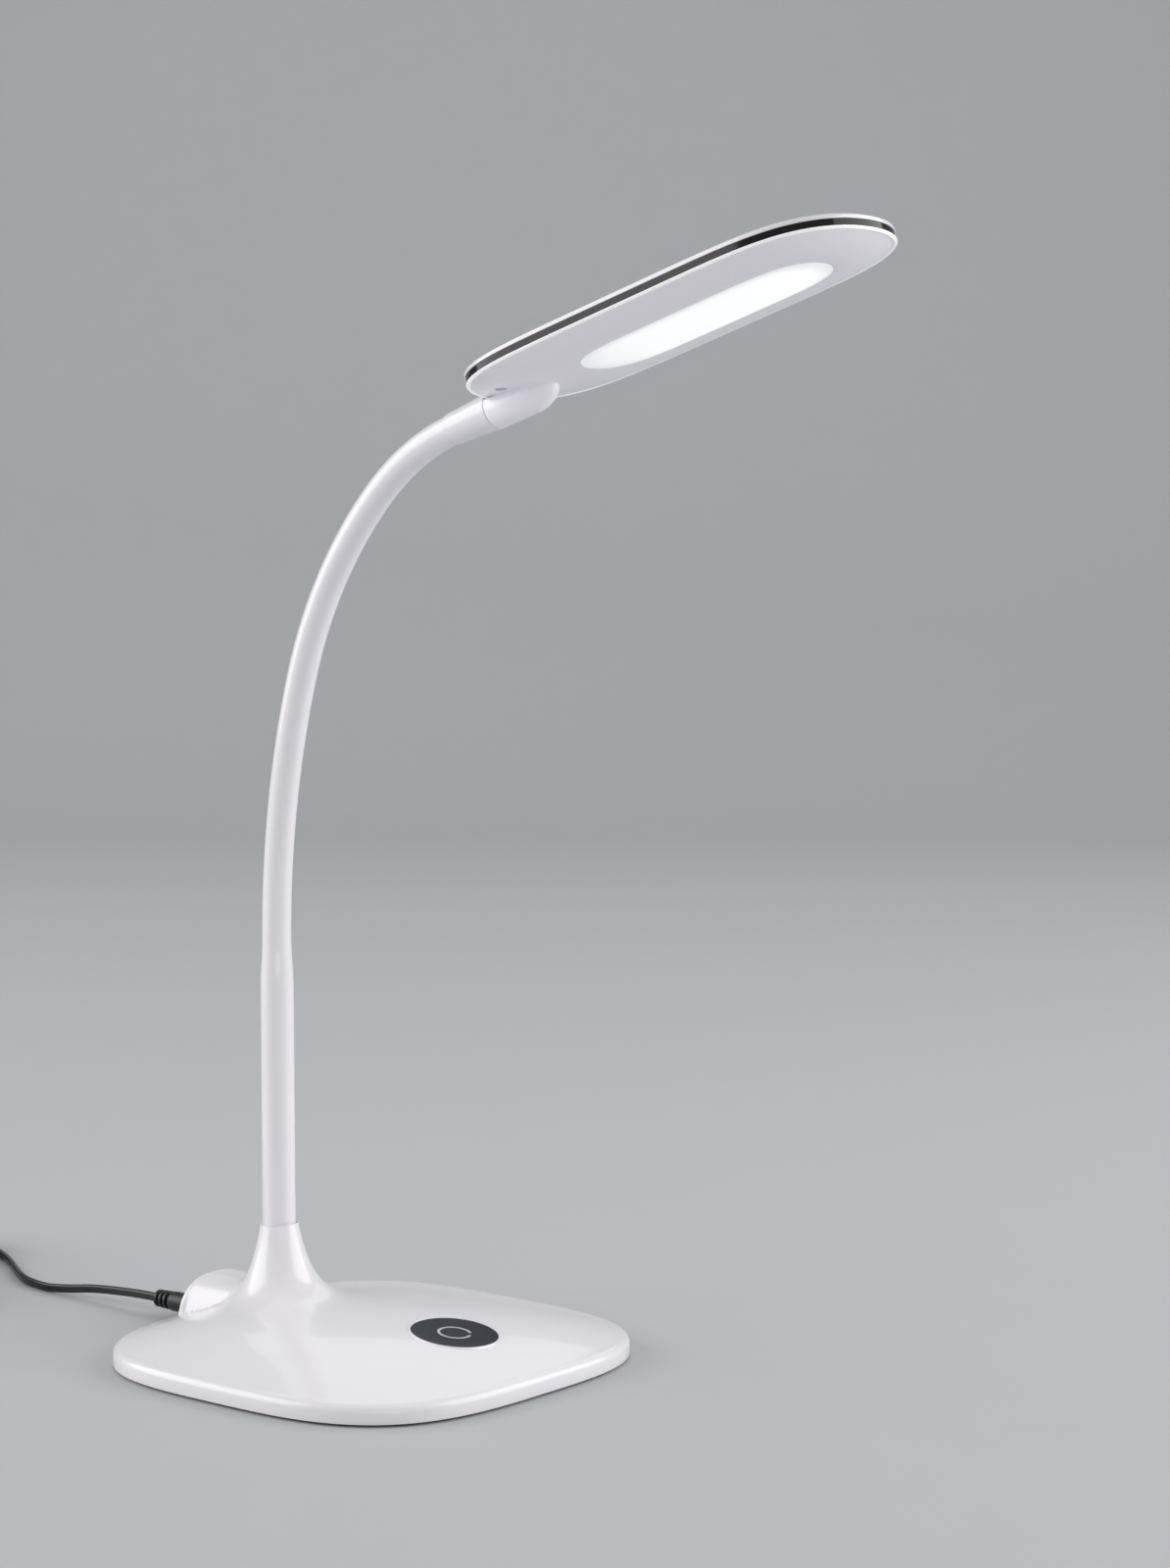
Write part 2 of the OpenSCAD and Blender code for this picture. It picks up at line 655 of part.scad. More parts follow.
module head_shell() {
    color("gainsboro") head_frame() difference() {
        union() {
            head_skin();
            translate([0.001, 0, 0]) housing();
        }
        rotate([0, 90, 0]) translate([0, 0, -1]) cylinder(r = pin_r + pin_gap, h = chamber_from + 2);
        translate([chamber_from, 0, 0]) rotate([0, 90, 0]) cylinder(r = chamber_r, h = chamber_len);
        translate([chamber_from, -chamber_r + 1, 0]) cube([chamber_len, 2 * chamber_r - 2, rim_rise + 6]);
        for (side = [-1, 1]) translate([screw_u, side * screw_v, -6]) {
            cylinder(r = 1.15, h = 14);
            cylinder(r = recess_r, h = 6 + belly_at(screw_u) + 0.9);
        }
    }
}

trim_inset = 0.5;
trim_w = 2.6;
module trim_band() {
    color([0.08, 0.08, 0.09]) head_frame() translate([0, 0, rim_rise]) linear_extrude(trim_h) difference() {
        polygon(head_oval(trim_inset));
        polygon(head_oval(trim_inset + trim_w));
    }
}

top_z = rim_rise + trim_h;
edge_round = 0.9;
function scaled(s, inset) = [for (p = head_oval(inset)) [head_u + (p[0] - head_u) * s, p[1] * s]];
function crown_z(s) = top_z + edge_h + edge_round + crown * (1 - pow(s, 2.2));
module top_shell_skin() {
    out = [0.22, 0.42, 0.6, 0.76, 0.9, 1];
    in = [1, 0.8, 0.55, 0.28];
    ring_stack([head_u, 0, crown_z(0)],
        concat([for (s = out) at_height(scaled(s, edge_round), crown_z(s))],
            [at_height(head_oval(edge_round * 0.3), top_z + edge_h + edge_round * 0.7),
             at_height(head_oval(0), top_z + edge_h),
             at_height(head_oval(0), top_z), at_height(head_oval(shell_wall + 0.4), top_z)],
            [for (s = in) at_height(scaled(s, shell_wall + 0.8), crown_z(s) - shell_wall)]),
        [head_u, 0, crown_z(0) - shell_wall]);
}

boss_z = belly_at(screw_u) + shell_wall + 0.55;
module top_shell() {
    color("white") head_frame() difference() {
        union() {
            top_shell_skin();
            for (side = [-1, 1]) translate([screw_u, side * screw_v, boss_z])
                cylinder(r = 2.4, h = top_z + edge_h + 1.2 - boss_z);
        }
        for (side = [-1, 1]) translate([screw_u, side * screw_v, boss_z - 1]) cylinder(r = 1.05, h = 4.2);
    }
}

module shell_screws() {
    z = belly_at(screw_u) + 0.05;
    color("gray") head_frame() for (side = [-1, 1]) translate([screw_u, side * screw_v, z])
        screw(1.9, 0.8, 1.0, 5);
}

lip_w = 1.6;
lip_h = 0.8;
lip_z = belly_z(0) + shell_wall + 0.15;
lens_wall = 1.3;
lens_crown = 1.2;
module diffuser() {
    out = [0.3, 0.6, 0.85];
    face = window_oval(fit);
    function shrink(s) = [for (p = face) [window_u + (p[0] - window_u) * s, p[1] * s]];
    color([1, 1, 0.96]) head_frame() ring_stack([window_u, 0, lip_z + lip_h - 0.6 - lens_crown],
        concat([for (s = [0.35, 0.75]) at_height(shrink(s), lip_z + lip_h - 0.6 - lens_crown * (1 - s * s))],
            [at_height(window_oval(lens_wall), lip_z + lip_h), at_height(window_oval(-lip_w), lip_z + lip_h),
             at_height(window_oval(-lip_w), lip_z), at_height(window_oval(fit), lip_z),
             at_height(window_oval(fit), belly_z(0))],
            [for (i = [len(out) - 1 : -1 : 0]) at_height(shrink(out[i]),
                belly_z(0) - lens_crown * (1 - out[i] * out[i]))]),
        [window_u, 0, belly_z(0) - lens_crown]);
}

tray_z = lip_z + lip_h + 0.05;
tray_h = 2.6;
tray_w = 1.2;
module light_tray() {
    color("white") head_frame() translate([0, 0, tray_z]) linear_extrude(tray_h) difference() {
        polygon(window_oval(-lip_w));
        polygon(window_oval(-lip_w + tray_w));
    }
}

heat_t = 1.2;
heat_z = tray_z + tray_h;
module heat_plate() {
    color("lightgray") head_frame() translate([0, 0, heat_z]) linear_extrude(heat_t) polygon(window_oval(-lip_w - 1));
}

led_board_t = 1.0;
led_h = 0.7;
led_size = [3.5, 2.8];
led_edge = 10;
module led_board() {
    color("ghostwhite") head_frame() translate([0, 0, heat_z - led_board_t]) linear_extrude(led_board_t)
        polygon(window_oval(1.2));
}
module leds() {
    pitch = (window_len - 2 * led_edge - led_size[0]) / (led_count - 1);
    color("khaki") head_frame() for (i = [0 : led_count - 1]) for (side = [-1, 1])
        translate([window_u + (i - (led_count - 1) / 2) * pitch - led_size[0] / 2,
            side * window_wid / 5 - led_size[1] / 2, heat_z - led_board_t - led_h])
        cube([led_size[0], led_size[1], led_h]);
}

module head_lead() {
    top = heat_z + heat_t + 1.4;
    from = pin_reach + 0.3;
    end = window_u - window_a + 6;
    step = lerp(from, end, 0.6);
    color("ivory") head_frame() wire([[from, 0, 0], [from + 2.6, 0, 0], [from + 2.6, 0, rim_rise + 1.8],
        [step, 0, rim_rise + 1.8], [step, 0, top], [end, 0, top], [end, 0, heat_z + heat_t + 0.1]], 1.2);
}

// ---- cord ----
cord_r = cord_w / 2;
plug_face = jack_face - 0.2;
rib_count = 3;
rib_pitch = 2.6;
rib_t = 1.5;
relief_len = rib_count * rib_pitch;
plug_end = plug_face - plug_len - relief_len;
module dc_plug() {
    color([0.1, 0.1, 0.1]) translate([plug_face, 0, jack_z]) rotate([0, -90, 0]) {
        difference() {
            cylinder(r = plug_r, h = plug_len);
            translate([0, 0, -1]) cylinder(r = barrel_r + 0.05, h = 4);
        }
        translate([0, 0, plug_len - 1]) cylinder(r = cord_r + 0.7, h = relief_len + 1);
        for (i = [0 : rib_count - 1]) translate([0, 0, plug_len + rib_pitch * i + rib_pitch - rib_t])
            cylinder(r = plug_r - 0.25 - 0.3 * i, h = rib_t);
    }
}

module plug_barrel() {
    color("silver") translate([plug_face + barrel_len - 0.4, 0, jack_z]) rotate([0, -90, 0])
        tube(barrel_r, 1.05, barrel_len + 2.4);
}

// The free run's own points, from the plug to the coil.
cord_points = [[-127, 0, 6.5], [-134, 0.1, 6.2], [-142, 0.2, 5.7], [-150, 0.2, 5.1], [-158, 0, 4.3],
    [-166, -0.8, 3.2], [-174, -1.9, 2.4], [-184, -1.9, 1.6], [-195, 0.5, 1.3], [-204, 4.8, 1.3],
    [-214, 11, 1.3], [-224, 17.7, 1.3], [-234, 24.2, 1.3], [-243, 29.4, 1.3], [-251, 32.8, 1.3],
    [-258, 34.5, 1.3]];
coil_at = [-270, 10];
coil_mid = 20;
coil_from = 80;
coil_to = 225;
coil_layers = 4;
coil_turns = 10;
coil_pitch = 4.04;
coil_rise = 3.05;
coil_angle = 360 * coil_turns + coil_to - coil_from;
layer_angle = coil_angle / coil_layers;
coil_swing = coil_pitch * layer_angle / 360;
coil_steps = 24;

function coil_layer(a) = min(coil_layers - 1, floor(a / layer_angle));
function coil_radius(a) = let (l = coil_layer(a), s = a / layer_angle - l)
    coil_mid + coil_swing * (l % 2 == 0 ? 0.5 - s : s - 0.5);
function climb(a, l) = ease(clamp((a - l * layer_angle + 90) / 180));
function coil_height(a) = cord_t / 2 + coil_rise * (climb(a, 1) + climb(a, 2) + climb(a, 3));
function coil_point(a) = let (r = coil_radius(a), t = coil_from + a)
    [coil_at[0] + r * cos(t), coil_at[1] + r * sin(t), coil_height(a)];
coil_out = [-sin(coil_to), cos(coil_to), 0];
coil_in = [-sin(coil_from), cos(coil_from), 0];
coil_tail = 8;
fit_end = 0.1;      // between the ends of the run and what they meet
coil_count = round(coil_angle / 360 * coil_steps);
coil_path = concat([coil_point(0) - coil_in * cord_w],
    [for (i = [0 : coil_count]) coil_point(coil_angle * i / coil_count)],
    [coil_point(coil_angle) + coil_out * cord_w, coil_point(coil_angle) + coil_out * coil_tail]);
run_points = concat([[plug_end - fit_end, 0, jack_z], [plug_end - cord_w, 0, jack_z]], cord_points,
    [coil_path[0] - coil_in * fit_end]);

function unit(v) = v / norm(v);
function between(p, i, s) = let (
    a = p[max(0, i - 1)], b = p[i], c = p[i + 1], d = p[min(len(p) - 1, i + 2)])
    0.5 * (2 * b + (c - a) * s + (2 * a - 5 * b + 4 * c - d) * s * s
        + (3 * b - a - 3 * c + d) * s * s * s);
function smooth(p, parts) = concat(
    [for (i = [0 : len(p) - 2]) for (j = [0 : parts - 1]) between(p, i, j / parts)], [p[len(p) - 1]]);
function lengths(p) = [for (i = [1 : len(p) - 1]) norm(p[i] - p[i - 1])];
function total(v) = v * [for (x = v) 1];

// Rings square to the path, kept level so that the tube doesn't twist.
function side_of(d) = unit(cross(d, [0, 0, 1]));
function heading(p, i) = unit(p[min(i + 1, len(p) - 1)] - p[max(i - 1, 0)]);
module cord_tube(p, sides) {
    rings = [for (i = [0 : len(p) - 1]) let (d = heading(p, i), s = side_of(d), u = cross(s, d))
        [for (j = [0 : sides - 1]) let (t = 360 * (j + 0.5) / sides)
            p[i] + cord_w / 2 * cos(t) * s + cord_t / 2 * sin(t) * u]];
    ring_stack(p[0], rings, p[len(p) - 1]);
}
run_path = smooth(run_points, 2);
module cord_run() { color([0.08, 0.08, 0.08]) cord_tube(run_path, 8); }
module cord_coil() { color([0.08, 0.08, 0.08]) cord_tube(coil_path, 6); }

// Least gap of the coil to itself, on its own points: any two that lie over a third of a turn apart.
near_count = 10;
coil_gap = min([for (i = [0 : len(coil_path) - 1]) for (j = [i + near_count : len(coil_path) - 1])
    let (d = coil_path[i] - coil_path[j]) norm([d[0], d[1], d[2] * cord_w / cord_t])]) - cord_w;
echo(coil_gap = coil_gap, cord_length = total(lengths(run_path)) + total(lengths(coil_path)),
    swivel_at = swivel_at, neck_tilt = neck_tilt);

relief_long = 21;
corner_r = 4;
split_h = 5.8;
module adapter_frame() {
    p = coil_path[len(coil_path) - 1];
    translate([p[0], p[1], 0]) rotate([0, 0, coil_to + 90]) children();
}
cord_exit_z = coil_path[len(coil_path) - 1][2];
adapter_z = 0;
module rounded(l, w, r) {
    translate([r, -w / 2]) square([l - 2 * r, w]);
    translate([0, -w / 2 + r]) square([l, w - 2 * r]);
    for (x = [r, l - r]) for (y = [-w / 2 + r, w / 2 - r]) translate([x, y]) circle(r = r);
}
module adapter_case() {
    color([0.1, 0.1, 0.1]) adapter_frame() {
        difference() {
            translate([relief_long, 0, adapter_z]) linear_extrude(split_h) rounded(adapter_len, adapter_wid, corner_r);
            translate([relief_long + 2, 0, adapter_z + 2]) linear_extrude(split_h) rounded(adapter_len - 4, adapter_wid - 4, corner_r - 2);
        }
    }
}
module adapter_lid() {
    color([0.1, 0.1, 0.1]) adapter_frame() {
        difference() {
            union() {
                translate([relief_long, 0, adapter_z + split_h + 0.05])
                    linear_extrude(adapter_h - split_h - 0.05) rounded(adapter_len, adapter_wid, corner_r);
                translate([0, 0, cord_exit_z]) rotate([0, 90, 0])
                    cylinder(r1 = cord_r + 0.6, r2 = cord_r + 2.4, h = relief_long + 0.5);
            }
            translate([relief_long + 2, 0, adapter_z + 2])
                linear_extrude(adapter_h - 4) rounded(adapter_len - 4, adapter_wid - 4, corner_r - 2);
            blades(0.1);
        }
    }
}
blade = [17, 1.5, 6.3];
blade_gap = 12.7;
module blades(grow) {
    for (side = [-1, 1])
        translate([relief_long + adapter_len - 5, side * blade_gap / 2 - blade[1] / 2 - grow, adapter_h - 10 - grow])
            cube([blade[0] + 5, blade[1] + 2 * grow, blade[2] + 2 * grow]);
}
module adapter_pins() { color("gold") adapter_frame() blades(0); }

base_cover();
base_plate();
rest_pad();
ballast_plate();
plate_screws();
foot_screws();
touch_lens();
touch_ring();
touch_board();
power_jack();
driver_board();
driver_parts();
board_screws();
base_leads();
foot_tube();
foot_sleeve();
foot_core();
foot_lead();
for (k = [0 : last]) neck_core(k);
for (k = [0 : last]) neck_sleeve(k);
for (k = [0 : last]) neck_lead(k);
ferrule();
swivel_pin();
swivel_clip();
head_shell();
trim_band();
top_shell();
diffuser();
light_tray();
heat_plate();
led_board();
leds();
shell_screws();
head_lead();
dc_plug();
plug_barrel();
cord_run();
cord_coil();
adapter_case();
adapter_lid();
adapter_pins();
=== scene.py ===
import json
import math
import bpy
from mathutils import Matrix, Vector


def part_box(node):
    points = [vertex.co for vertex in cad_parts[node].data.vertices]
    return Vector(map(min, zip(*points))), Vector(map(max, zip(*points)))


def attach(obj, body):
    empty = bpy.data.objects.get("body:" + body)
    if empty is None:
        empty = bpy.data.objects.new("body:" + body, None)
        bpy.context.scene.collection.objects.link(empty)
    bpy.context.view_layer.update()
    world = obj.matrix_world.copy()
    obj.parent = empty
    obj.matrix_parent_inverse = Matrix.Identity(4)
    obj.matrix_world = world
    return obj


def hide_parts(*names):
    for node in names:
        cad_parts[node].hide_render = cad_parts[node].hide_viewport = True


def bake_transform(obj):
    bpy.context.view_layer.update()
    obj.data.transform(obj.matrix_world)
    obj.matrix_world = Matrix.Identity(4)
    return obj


bl_info = {
    "name": "Gooseneck desk lamp",
    "version": (1, 0, 0),
    "blender": (4, 5, 0),
    "location": "View3D > Sidebar > Lamp",
    "description": "Dresses a desk lamp's frame: base cover, neck sleeve, head, touch disc, cord and stage",
    "category": "Object",
}

import bpy
import numpy as np
from mathutils import Matrix, Vector

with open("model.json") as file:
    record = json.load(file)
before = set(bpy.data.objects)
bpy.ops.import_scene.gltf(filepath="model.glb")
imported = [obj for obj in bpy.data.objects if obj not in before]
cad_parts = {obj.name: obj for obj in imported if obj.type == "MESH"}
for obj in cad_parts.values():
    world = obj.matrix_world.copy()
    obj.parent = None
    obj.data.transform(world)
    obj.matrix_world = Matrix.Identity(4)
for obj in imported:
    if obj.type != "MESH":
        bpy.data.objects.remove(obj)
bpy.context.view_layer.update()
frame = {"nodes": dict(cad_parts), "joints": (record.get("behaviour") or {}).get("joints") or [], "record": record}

MM = 0.001
JOINTS = {joint["name"]: joint for joint in frame["joints"]}
NECK_JOINTS = ["nod_1", "sway_2", "nod_3", "sway_4", "nod_5", "sway_6", "nod_7"]
PIVOTS = [np.array(JOINTS[name]["pos_m"], float) for name in NECK_JOINTS]
SWIVEL = np.array(JOINTS["head_turn"]["pos_m"], float)
HEAD_AXIS = np.array(JOINTS["head_turn"]["axis"], float)
BASE_LOW, BASE_HIGH = (np.array(corner, float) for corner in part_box("base_cover"))


# ---------------------------------------------------------------- sizes and colours


def length_prop(name, description, millimetres):
    return bpy.props.FloatProperty(name=name, description=description, default=millimetres * MM,
                                   min=0.0, max=1.0, unit="LENGTH", precision=5)


def place_prop(name, description, metres):
    return bpy.props.FloatProperty(name=name, description=description, default=metres,
                                   unit="LENGTH", precision=4)


def number_prop(name, description, value, low, high):
    return bpy.props.FloatProperty(name=name, description=description, default=value, min=low, max=high)


def angle_prop(name, description, degrees):
    return bpy.props.FloatProperty(name=name, description=description, default=math.radians(degrees),
                                   unit="ROTATION", subtype="ANGLE")


def colour_prop(name, description, value):
    return bpy.props.FloatVectorProperty(name=name, description=description, default=value, size=3,
                                         min=0.0, max=1.0, subtype="COLOR")


class LampBase(bpy.types.PropertyGroup):
    """Sizes of the base cover and its touch disc"""

    square: number_prop("Squareness", "Exponent of the outline, where 2 is an ellipse", 3.25, 2.0, 6.0)
    rim_top: length_prop("Rim height", "Height of the rim's rounded top edge", 7.6)
    rim_round: length_prop("Rim rounding", "Radius of the rim's rounding", 3.2)
    dome_rise: length_prop("Dome rise", "Rise of the dome above the rim", 12.2)
    wall: length_prop("Wall", "Wall of the cover", 2.2)
    lift: length_prop("Lift", "Gap between the table and the cover's lower edge", 1.0)
    collar_top: length_prop("Collar height", "Height of the collar's top", 46.6)
    collar_r: length_prop("Collar radius", "Outer radius of the collar's top", 7.5)
    flare_len: length_prop("Flare", "Distance over which the collar's flare dies away", 5.8)
    hump_top: length_prop("Hump height", "Height of the hump over the power socket", 22.8)
    hump_half: length_prop("Hump half width", "Half of the hump's width at the table", 18.5)
    touch_x: length_prop("Disc place", "Distance of the touch disc in front of the base's centre", 42.0)
    touch_r: length_prop("Disc radius", "Radius of the touch disc", 16.8)
    ring_r: length_prop("Mark radius", "Mean radius of the ring mark", 6.1)
    ring_w: length_prop("Mark width", "Width of the ring mark", 1.1)


class LampNeck(bpy.types.PropertyGroup):
    """Sizes of the neck's sleeve and its end sleeve"""

    foot_r: length_prop("Foot radius", "Radius of the sleeve over the rigid tube", 6.5)
    sleeve_r: length_prop("Sleeve radius", "Radius of the sleeve over the flexible core", 5.7)
    taper_from: length_prop("Taper start", "Height at which the sleeve starts to taper", 140.8)
    taper_to: length_prop("Taper end", "Height at which the taper ends", 160.0)
    ferrule_len: length_prop("End sleeve length", "Length of the flared end sleeve", 20.0)
    ferrule_back: length_prop("End sleeve lap", "Lap of the end sleeve over the neck", 2.0)
    housing_r: length_prop("Housing radius", "Outer radius of the swivel housing", 7.3)


class LampHead(bpy.types.PropertyGroup):
    """Sizes of the head's shells and its light window"""

    roll: angle_prop("Turn", "Turn of the head about its swivel as the lamp stands", -5.0)
    length: length_prop("Length", "Length of the head", 179.0)
    width: length_prop("Width", "Width of the head", 73.0)
    rim_rise: length_prop("Rim rise", "Height of the rim above the swivel's axis", 4.4)
    belly: length_prop("Belly", "Depth of the underside below the rim", 4.8)
    trim_h: length_prop("Trim height", "Height of the black trim band", 2.6)
    edge_h: length_prop("Edge height", "Height of the top shell's upright edge", 0.9)
    edge_round: length_prop("Edge rounding", "Rounding of the top shell's edge", 0.9)
    crown: length_prop("Crown", "Rise of the top shell's dome", 4.4)
    window_len: length_prop("Window length", "Length of the light window", 109.0)
    window_wid: length_prop("Window width", "Width of the light window", 33.0)
    window_fore: length_prop("Window place", "Distance of the window's centre in front of the head's", 12.0)
    window_crown: length_prop("Window crown", "Rise of the window's rounded face", 1.2)
    screw_u: length_prop("Screw place", "Distance of the two screws from the swivel's end", 14.5)
    screw_v: length_prop("Screw spread", "Distance of each screw from the head's middle", 12.4)


class LampCord(bpy.types.PropertyGroup):
    """Sizes of the cord and its plug"""

    width: length_prop("Width", "Width of the twin cord", 3.6)
    height: length_prop("Height", "Thickness of the twin cord", 2.6)
    plug_r: length_prop("Plug radius", "Radius of the plug's grip", 4.0)
    plug_len: length_prop("Plug length", "Length of the plug's grip", 22.0)
    rib_count: bpy.props.IntProperty(name="Ribs", description="Ribs of the plug's relief",
                                     default=3, min=1, max=8)
    rib_pitch: length_prop("Rib pitch", "Distance from rib to rib", 2.6)
    first_turn: angle_prop("First turn", "Turn of the twin cord, out of the level, at the plug", 82.0)
    flat_from: length_prop("Flat from", "Length of cord after which it starts to turn flat", 115.0)
    flat_by: length_prop("Flat by", "Length of cord after which it lies flat", 150.0)


class LampColours(bpy.types.PropertyGroup):
    """Colours of the finishes"""

    white: colour_prop("White", "Glossy white of base, neck and top shell", (0.805, 0.79, 0.825))
    # Partly painted light: the underside's satin white is set lighter than the top's white to stand in for light
    # from below
    under: colour_prop("Underside", "White of the head's underside", (0.92, 0.905, 0.945))
    window: colour_prop("Window", "Light window", (0.93, 0.93, 0.93))
    trim: colour_prop("Trim", "Black trim band", (0.006, 0.006, 0.008))
    disc: colour_prop("Disc", "Slate touch disc", (0.026, 0.029, 0.037))
    mark: colour_prop("Mark", "Grey ring mark", (0.46, 0.46, 0.49))
    cord: colour_prop("Cord", "Black cord and plug", (0.008, 0.008, 0.010))
    floor: colour_prop("Floor", "Pale floor and backdrop", (0.50, 0.51, 0.53))


# ---------------------------------------------------------------- node helpers


class Socket:
    """A node's output as a value in Python expressions"""

    def __init__(self, maker, socket):
        self.maker = maker
        self.socket = socket

    def _math(self, operation, *others):
        return self.maker.node("ShaderNodeMath", {"operation": operation}, dict(enumerate((self,) + others)))

    def __add__(self, other):
        return self._math("ADD", other)

    __radd__ = __add__

    def __sub__(self, other):
        return self._math("SUBTRACT", other)

    def __rsub__(self, other):
        return self.maker.node("ShaderNodeMath", {"operation": "SUBTRACT"}, {0: other, 1: self})

    def __mul__(self, other):
        return self._math("MULTIPLY", other)

    __rmul__ = __mul__

    def __abs__(self):
        return self._math("ABSOLUTE")

    def sqrt(self):
        return self._math("SQRT")

    def smooth(self, low, high):
        return self.maker.node("ShaderNodeMapRange", {"interpolation_type": "SMOOTHSTEP"},
                               {"Value": self, "From Min": low, "From Max": high})


class Maker:
    """Adds nodes to a tree by type, settings and socket values"""

    def __init__(self, tree):
        self.tree = tree

    def add(self, kind, settings=None, values=None):
        node = self.tree.nodes.new(kind)
        for key, value in (settings or {}).items():
            setattr(node, key, value)
        for key, value in (values or {}).items():
            self.feed(node.inputs[key], value)
        return node

    def node(self, kind, settings=None, values=None, output=0):
        return Socket(self, self.add(kind, settings, values).outputs[output])

    def feed(self, target, value):
        if isinstance(value, Socket):
            self.tree.links.new(value.socket, target)
        else:
            target.default_value = value

    def mix(self, share, a, b):
        return self.node("ShaderNodeMix", {"data_type": "RGBA"}, {0: share, 6: a, 7: b}, output=2)

    def split(self, vector):
        node = self.add("ShaderNodeSeparateXYZ", {}, {0: vector})
        return [Socket(self, output) for output in node.outputs]


def rgba(colour, factor=1.0, most=1.0):
    """A colour with its alpha, lighter or darker by a factor"""
    return (*(min(most, c * factor) for c in colour), 1.0)


class Finish(Maker):
    """A material whose nodes end in one Principled shader"""

    def __init__(self, name):
        self.material = bpy.data.materials.new(name)
        self.material.use_nodes = True
        super().__init__(self.material.node_tree)
        self.tree.nodes.clear()
        self.place = self.node("ShaderNodeTexCoord", output="Object")

    def noise(self, scale, detail, place=None):
        return self.node("ShaderNodeTexNoise", {},
                         {"Scale": scale, "Detail": detail, "Vector": place or self.place})

    def bump(self, height, strength, distance):
        return self.node("ShaderNodeBump", {}, {"Height": height, "Strength": strength, "Distance": distance})

    def close(self, **values):
        names = {key.replace("_", " "): value for key, value in values.items()}
        shader = self.add("ShaderNodeBsdfPrincipled", {}, names)
        self.add("ShaderNodeOutputMaterial", {}, {"Surface": Socket(self, shader.outputs[0])})
        return self.material


# ---------------------------------------------------------------- mesh helpers


SMOOTH_ANGLE = 35.0


def shown(name, vertices, faces, smooth_angle=SMOOTH_ANGLE):
    """A new mesh object, smooth where it turns softly"""
    mesh = bpy.data.meshes.new(name)
    mesh.from_pydata([tuple(float(c) for c in v) for v in vertices], [], [tuple(map(int, f)) for f in faces])
    mesh.validate()
    mesh.update()
    obj = bpy.data.objects.new(name, mesh)
    bpy.context.collection.objects.link(obj)
    soften(mesh, smooth_angle)
    return obj


def soften(mesh, angle=SMOOTH_ANGLE):
    """Smooth shading, with an edge left sharp where faces meet at more than the angle"""
    mesh.polygons.foreach_set("use_smooth", [True] * len(mesh.polygons))
    mesh.set_sharp_from_angle(angle=math.radians(angle))
    mesh.update()


def ring_faces(rows, columns, wrap_rows):
    """Four-sided faces between neighbouring rings of equal count"""
    faces = []
    for i in range(rows if wrap_rows else rows - 1):
        i2 = (i + 1) % rows
        for j in range(columns):
            j2 = (j + 1) % columns
            faces.append((i * columns + j, i2 * columns + j, i2 * columns + j2, i * columns + j2))
    return faces


def ring_solid(name, rings, wrap=False, flip=False, smooth_angle=SMOOTH_ANGLE):
    """A closed solid from equal rings: wrapped like a torus, or with an end cap on the first and last"""
    rings = np.asarray(rings, float)
    rows, columns = rings.shape[:2]
    vertices = list(rings.reshape(-1, 3))
    faces = ring_faces(rows, columns, wrap)
    if not wrap:
        for row, order in ((0, 1), (rows - 1, -1)):
            centre = len(vertices)
            vertices.append(rings[row].mean(axis=0))
            edge = [row * columns + j for j in range(columns)][::order]
            faces += [(edge[j], edge[(j + 1) % columns], centre) for j in range(columns)]
    if flip:
        faces = [face[::-1] for face in faces]
    return shown(name, vertices, faces, smooth_angle)


def mark_painted_light_edge(obj, values):
    """Writes how near each point lies to the piece's edge, for the painted light and the roughness there in its
    material
    """
    attribute = obj.data.attributes.new("painted_light_edge_share", "FLOAT", "POINT")
    attribute.data.foreach_set("value", np.asarray(values, np.float32))


def lathe(name, profile, origin, axis, sides=96):
    """A turned solid from (distance along the axis, radius) pairs"""
    axis = Vector(axis).normalized()
    side = axis.orthogonal().normalized()
    up = axis.cross(side)
    rings = [[np.array(origin) + along * np.array(axis)
              + radius * (math.cos(t) * np.array(side) + math.sin(t) * np.array(up))
              for t in np.linspace(0, 2 * math.pi, sides, endpoint=False)] for along, radius in profile]
    return ring_solid(name, rings, flip=True)


def rounded(radius, centre, start, end, steps=6):
    """Points of a rounding from one angle to another, in degrees"""
    return [(centre[0] + radius * math.cos(math.radians(t)), centre[1] + radius * math.sin(math.radians(t)))
            for t in np.linspace(start, end, steps)]


def box_solid(name, size, bevel, segments=4):
    """A box with rounded edges, centred on the origin"""
    x, y, z = (side / 2 for side in size)
    corners = [(sx * x, sy * y, sz * z) for sx in (-1, 1) for sy in (-1, 1) for sz in (-1, 1)]
    faces = [(0, 1, 3, 2), (4, 6, 7, 5), (0, 4, 5, 1), (2, 3, 7, 6), (0, 2, 6, 4), (1, 5, 7, 3)]
    obj = shown(name, corners, faces)
    modifier = obj.modifiers.new("Edges", "BEVEL")
    modifier.width = bevel
    modifier.segments = segments
    return settle(obj)


def settle(obj, smooth_angle=SMOOTH_ANGLE):
    """Turns an object's modifiers into its own mesh"""
    depsgraph = bpy.context.evaluated_depsgraph_get()
    mesh = bpy.data.meshes.new_from_object(obj.evaluated_get(depsgraph))
    obj.modifiers.clear()
    if obj.type == "MESH":
        old = obj.data
        obj.data = mesh
        bpy.data.meshes.remove(old)
        result = obj
    else:
        name = obj.name
        bpy.data.objects.remove(obj)
        result = bpy.data.objects.new(name, mesh)
        bpy.context.collection.objects.link(result)
    soften(result.data, smooth_angle)
    return result


def place(obj, matrix):
    """Puts a mesh in its place, with the object left at the origin"""
    obj.data.transform(matrix)
    return obj


def paint(obj, finish):
    obj.data.materials.clear()
    obj.data.materials.append(MATERIALS[finish])


def dress(obj, body, slot, *nodes, finish=None):
    """Gives a finished piece its finish, its body and the nodes that it stands for"""
    paint(obj, finish or SLOT_FINISH[slot])
    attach(obj, body)
    if nodes:
        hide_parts(*nodes)
    return obj


# ---------------------------------------------------------------- materials


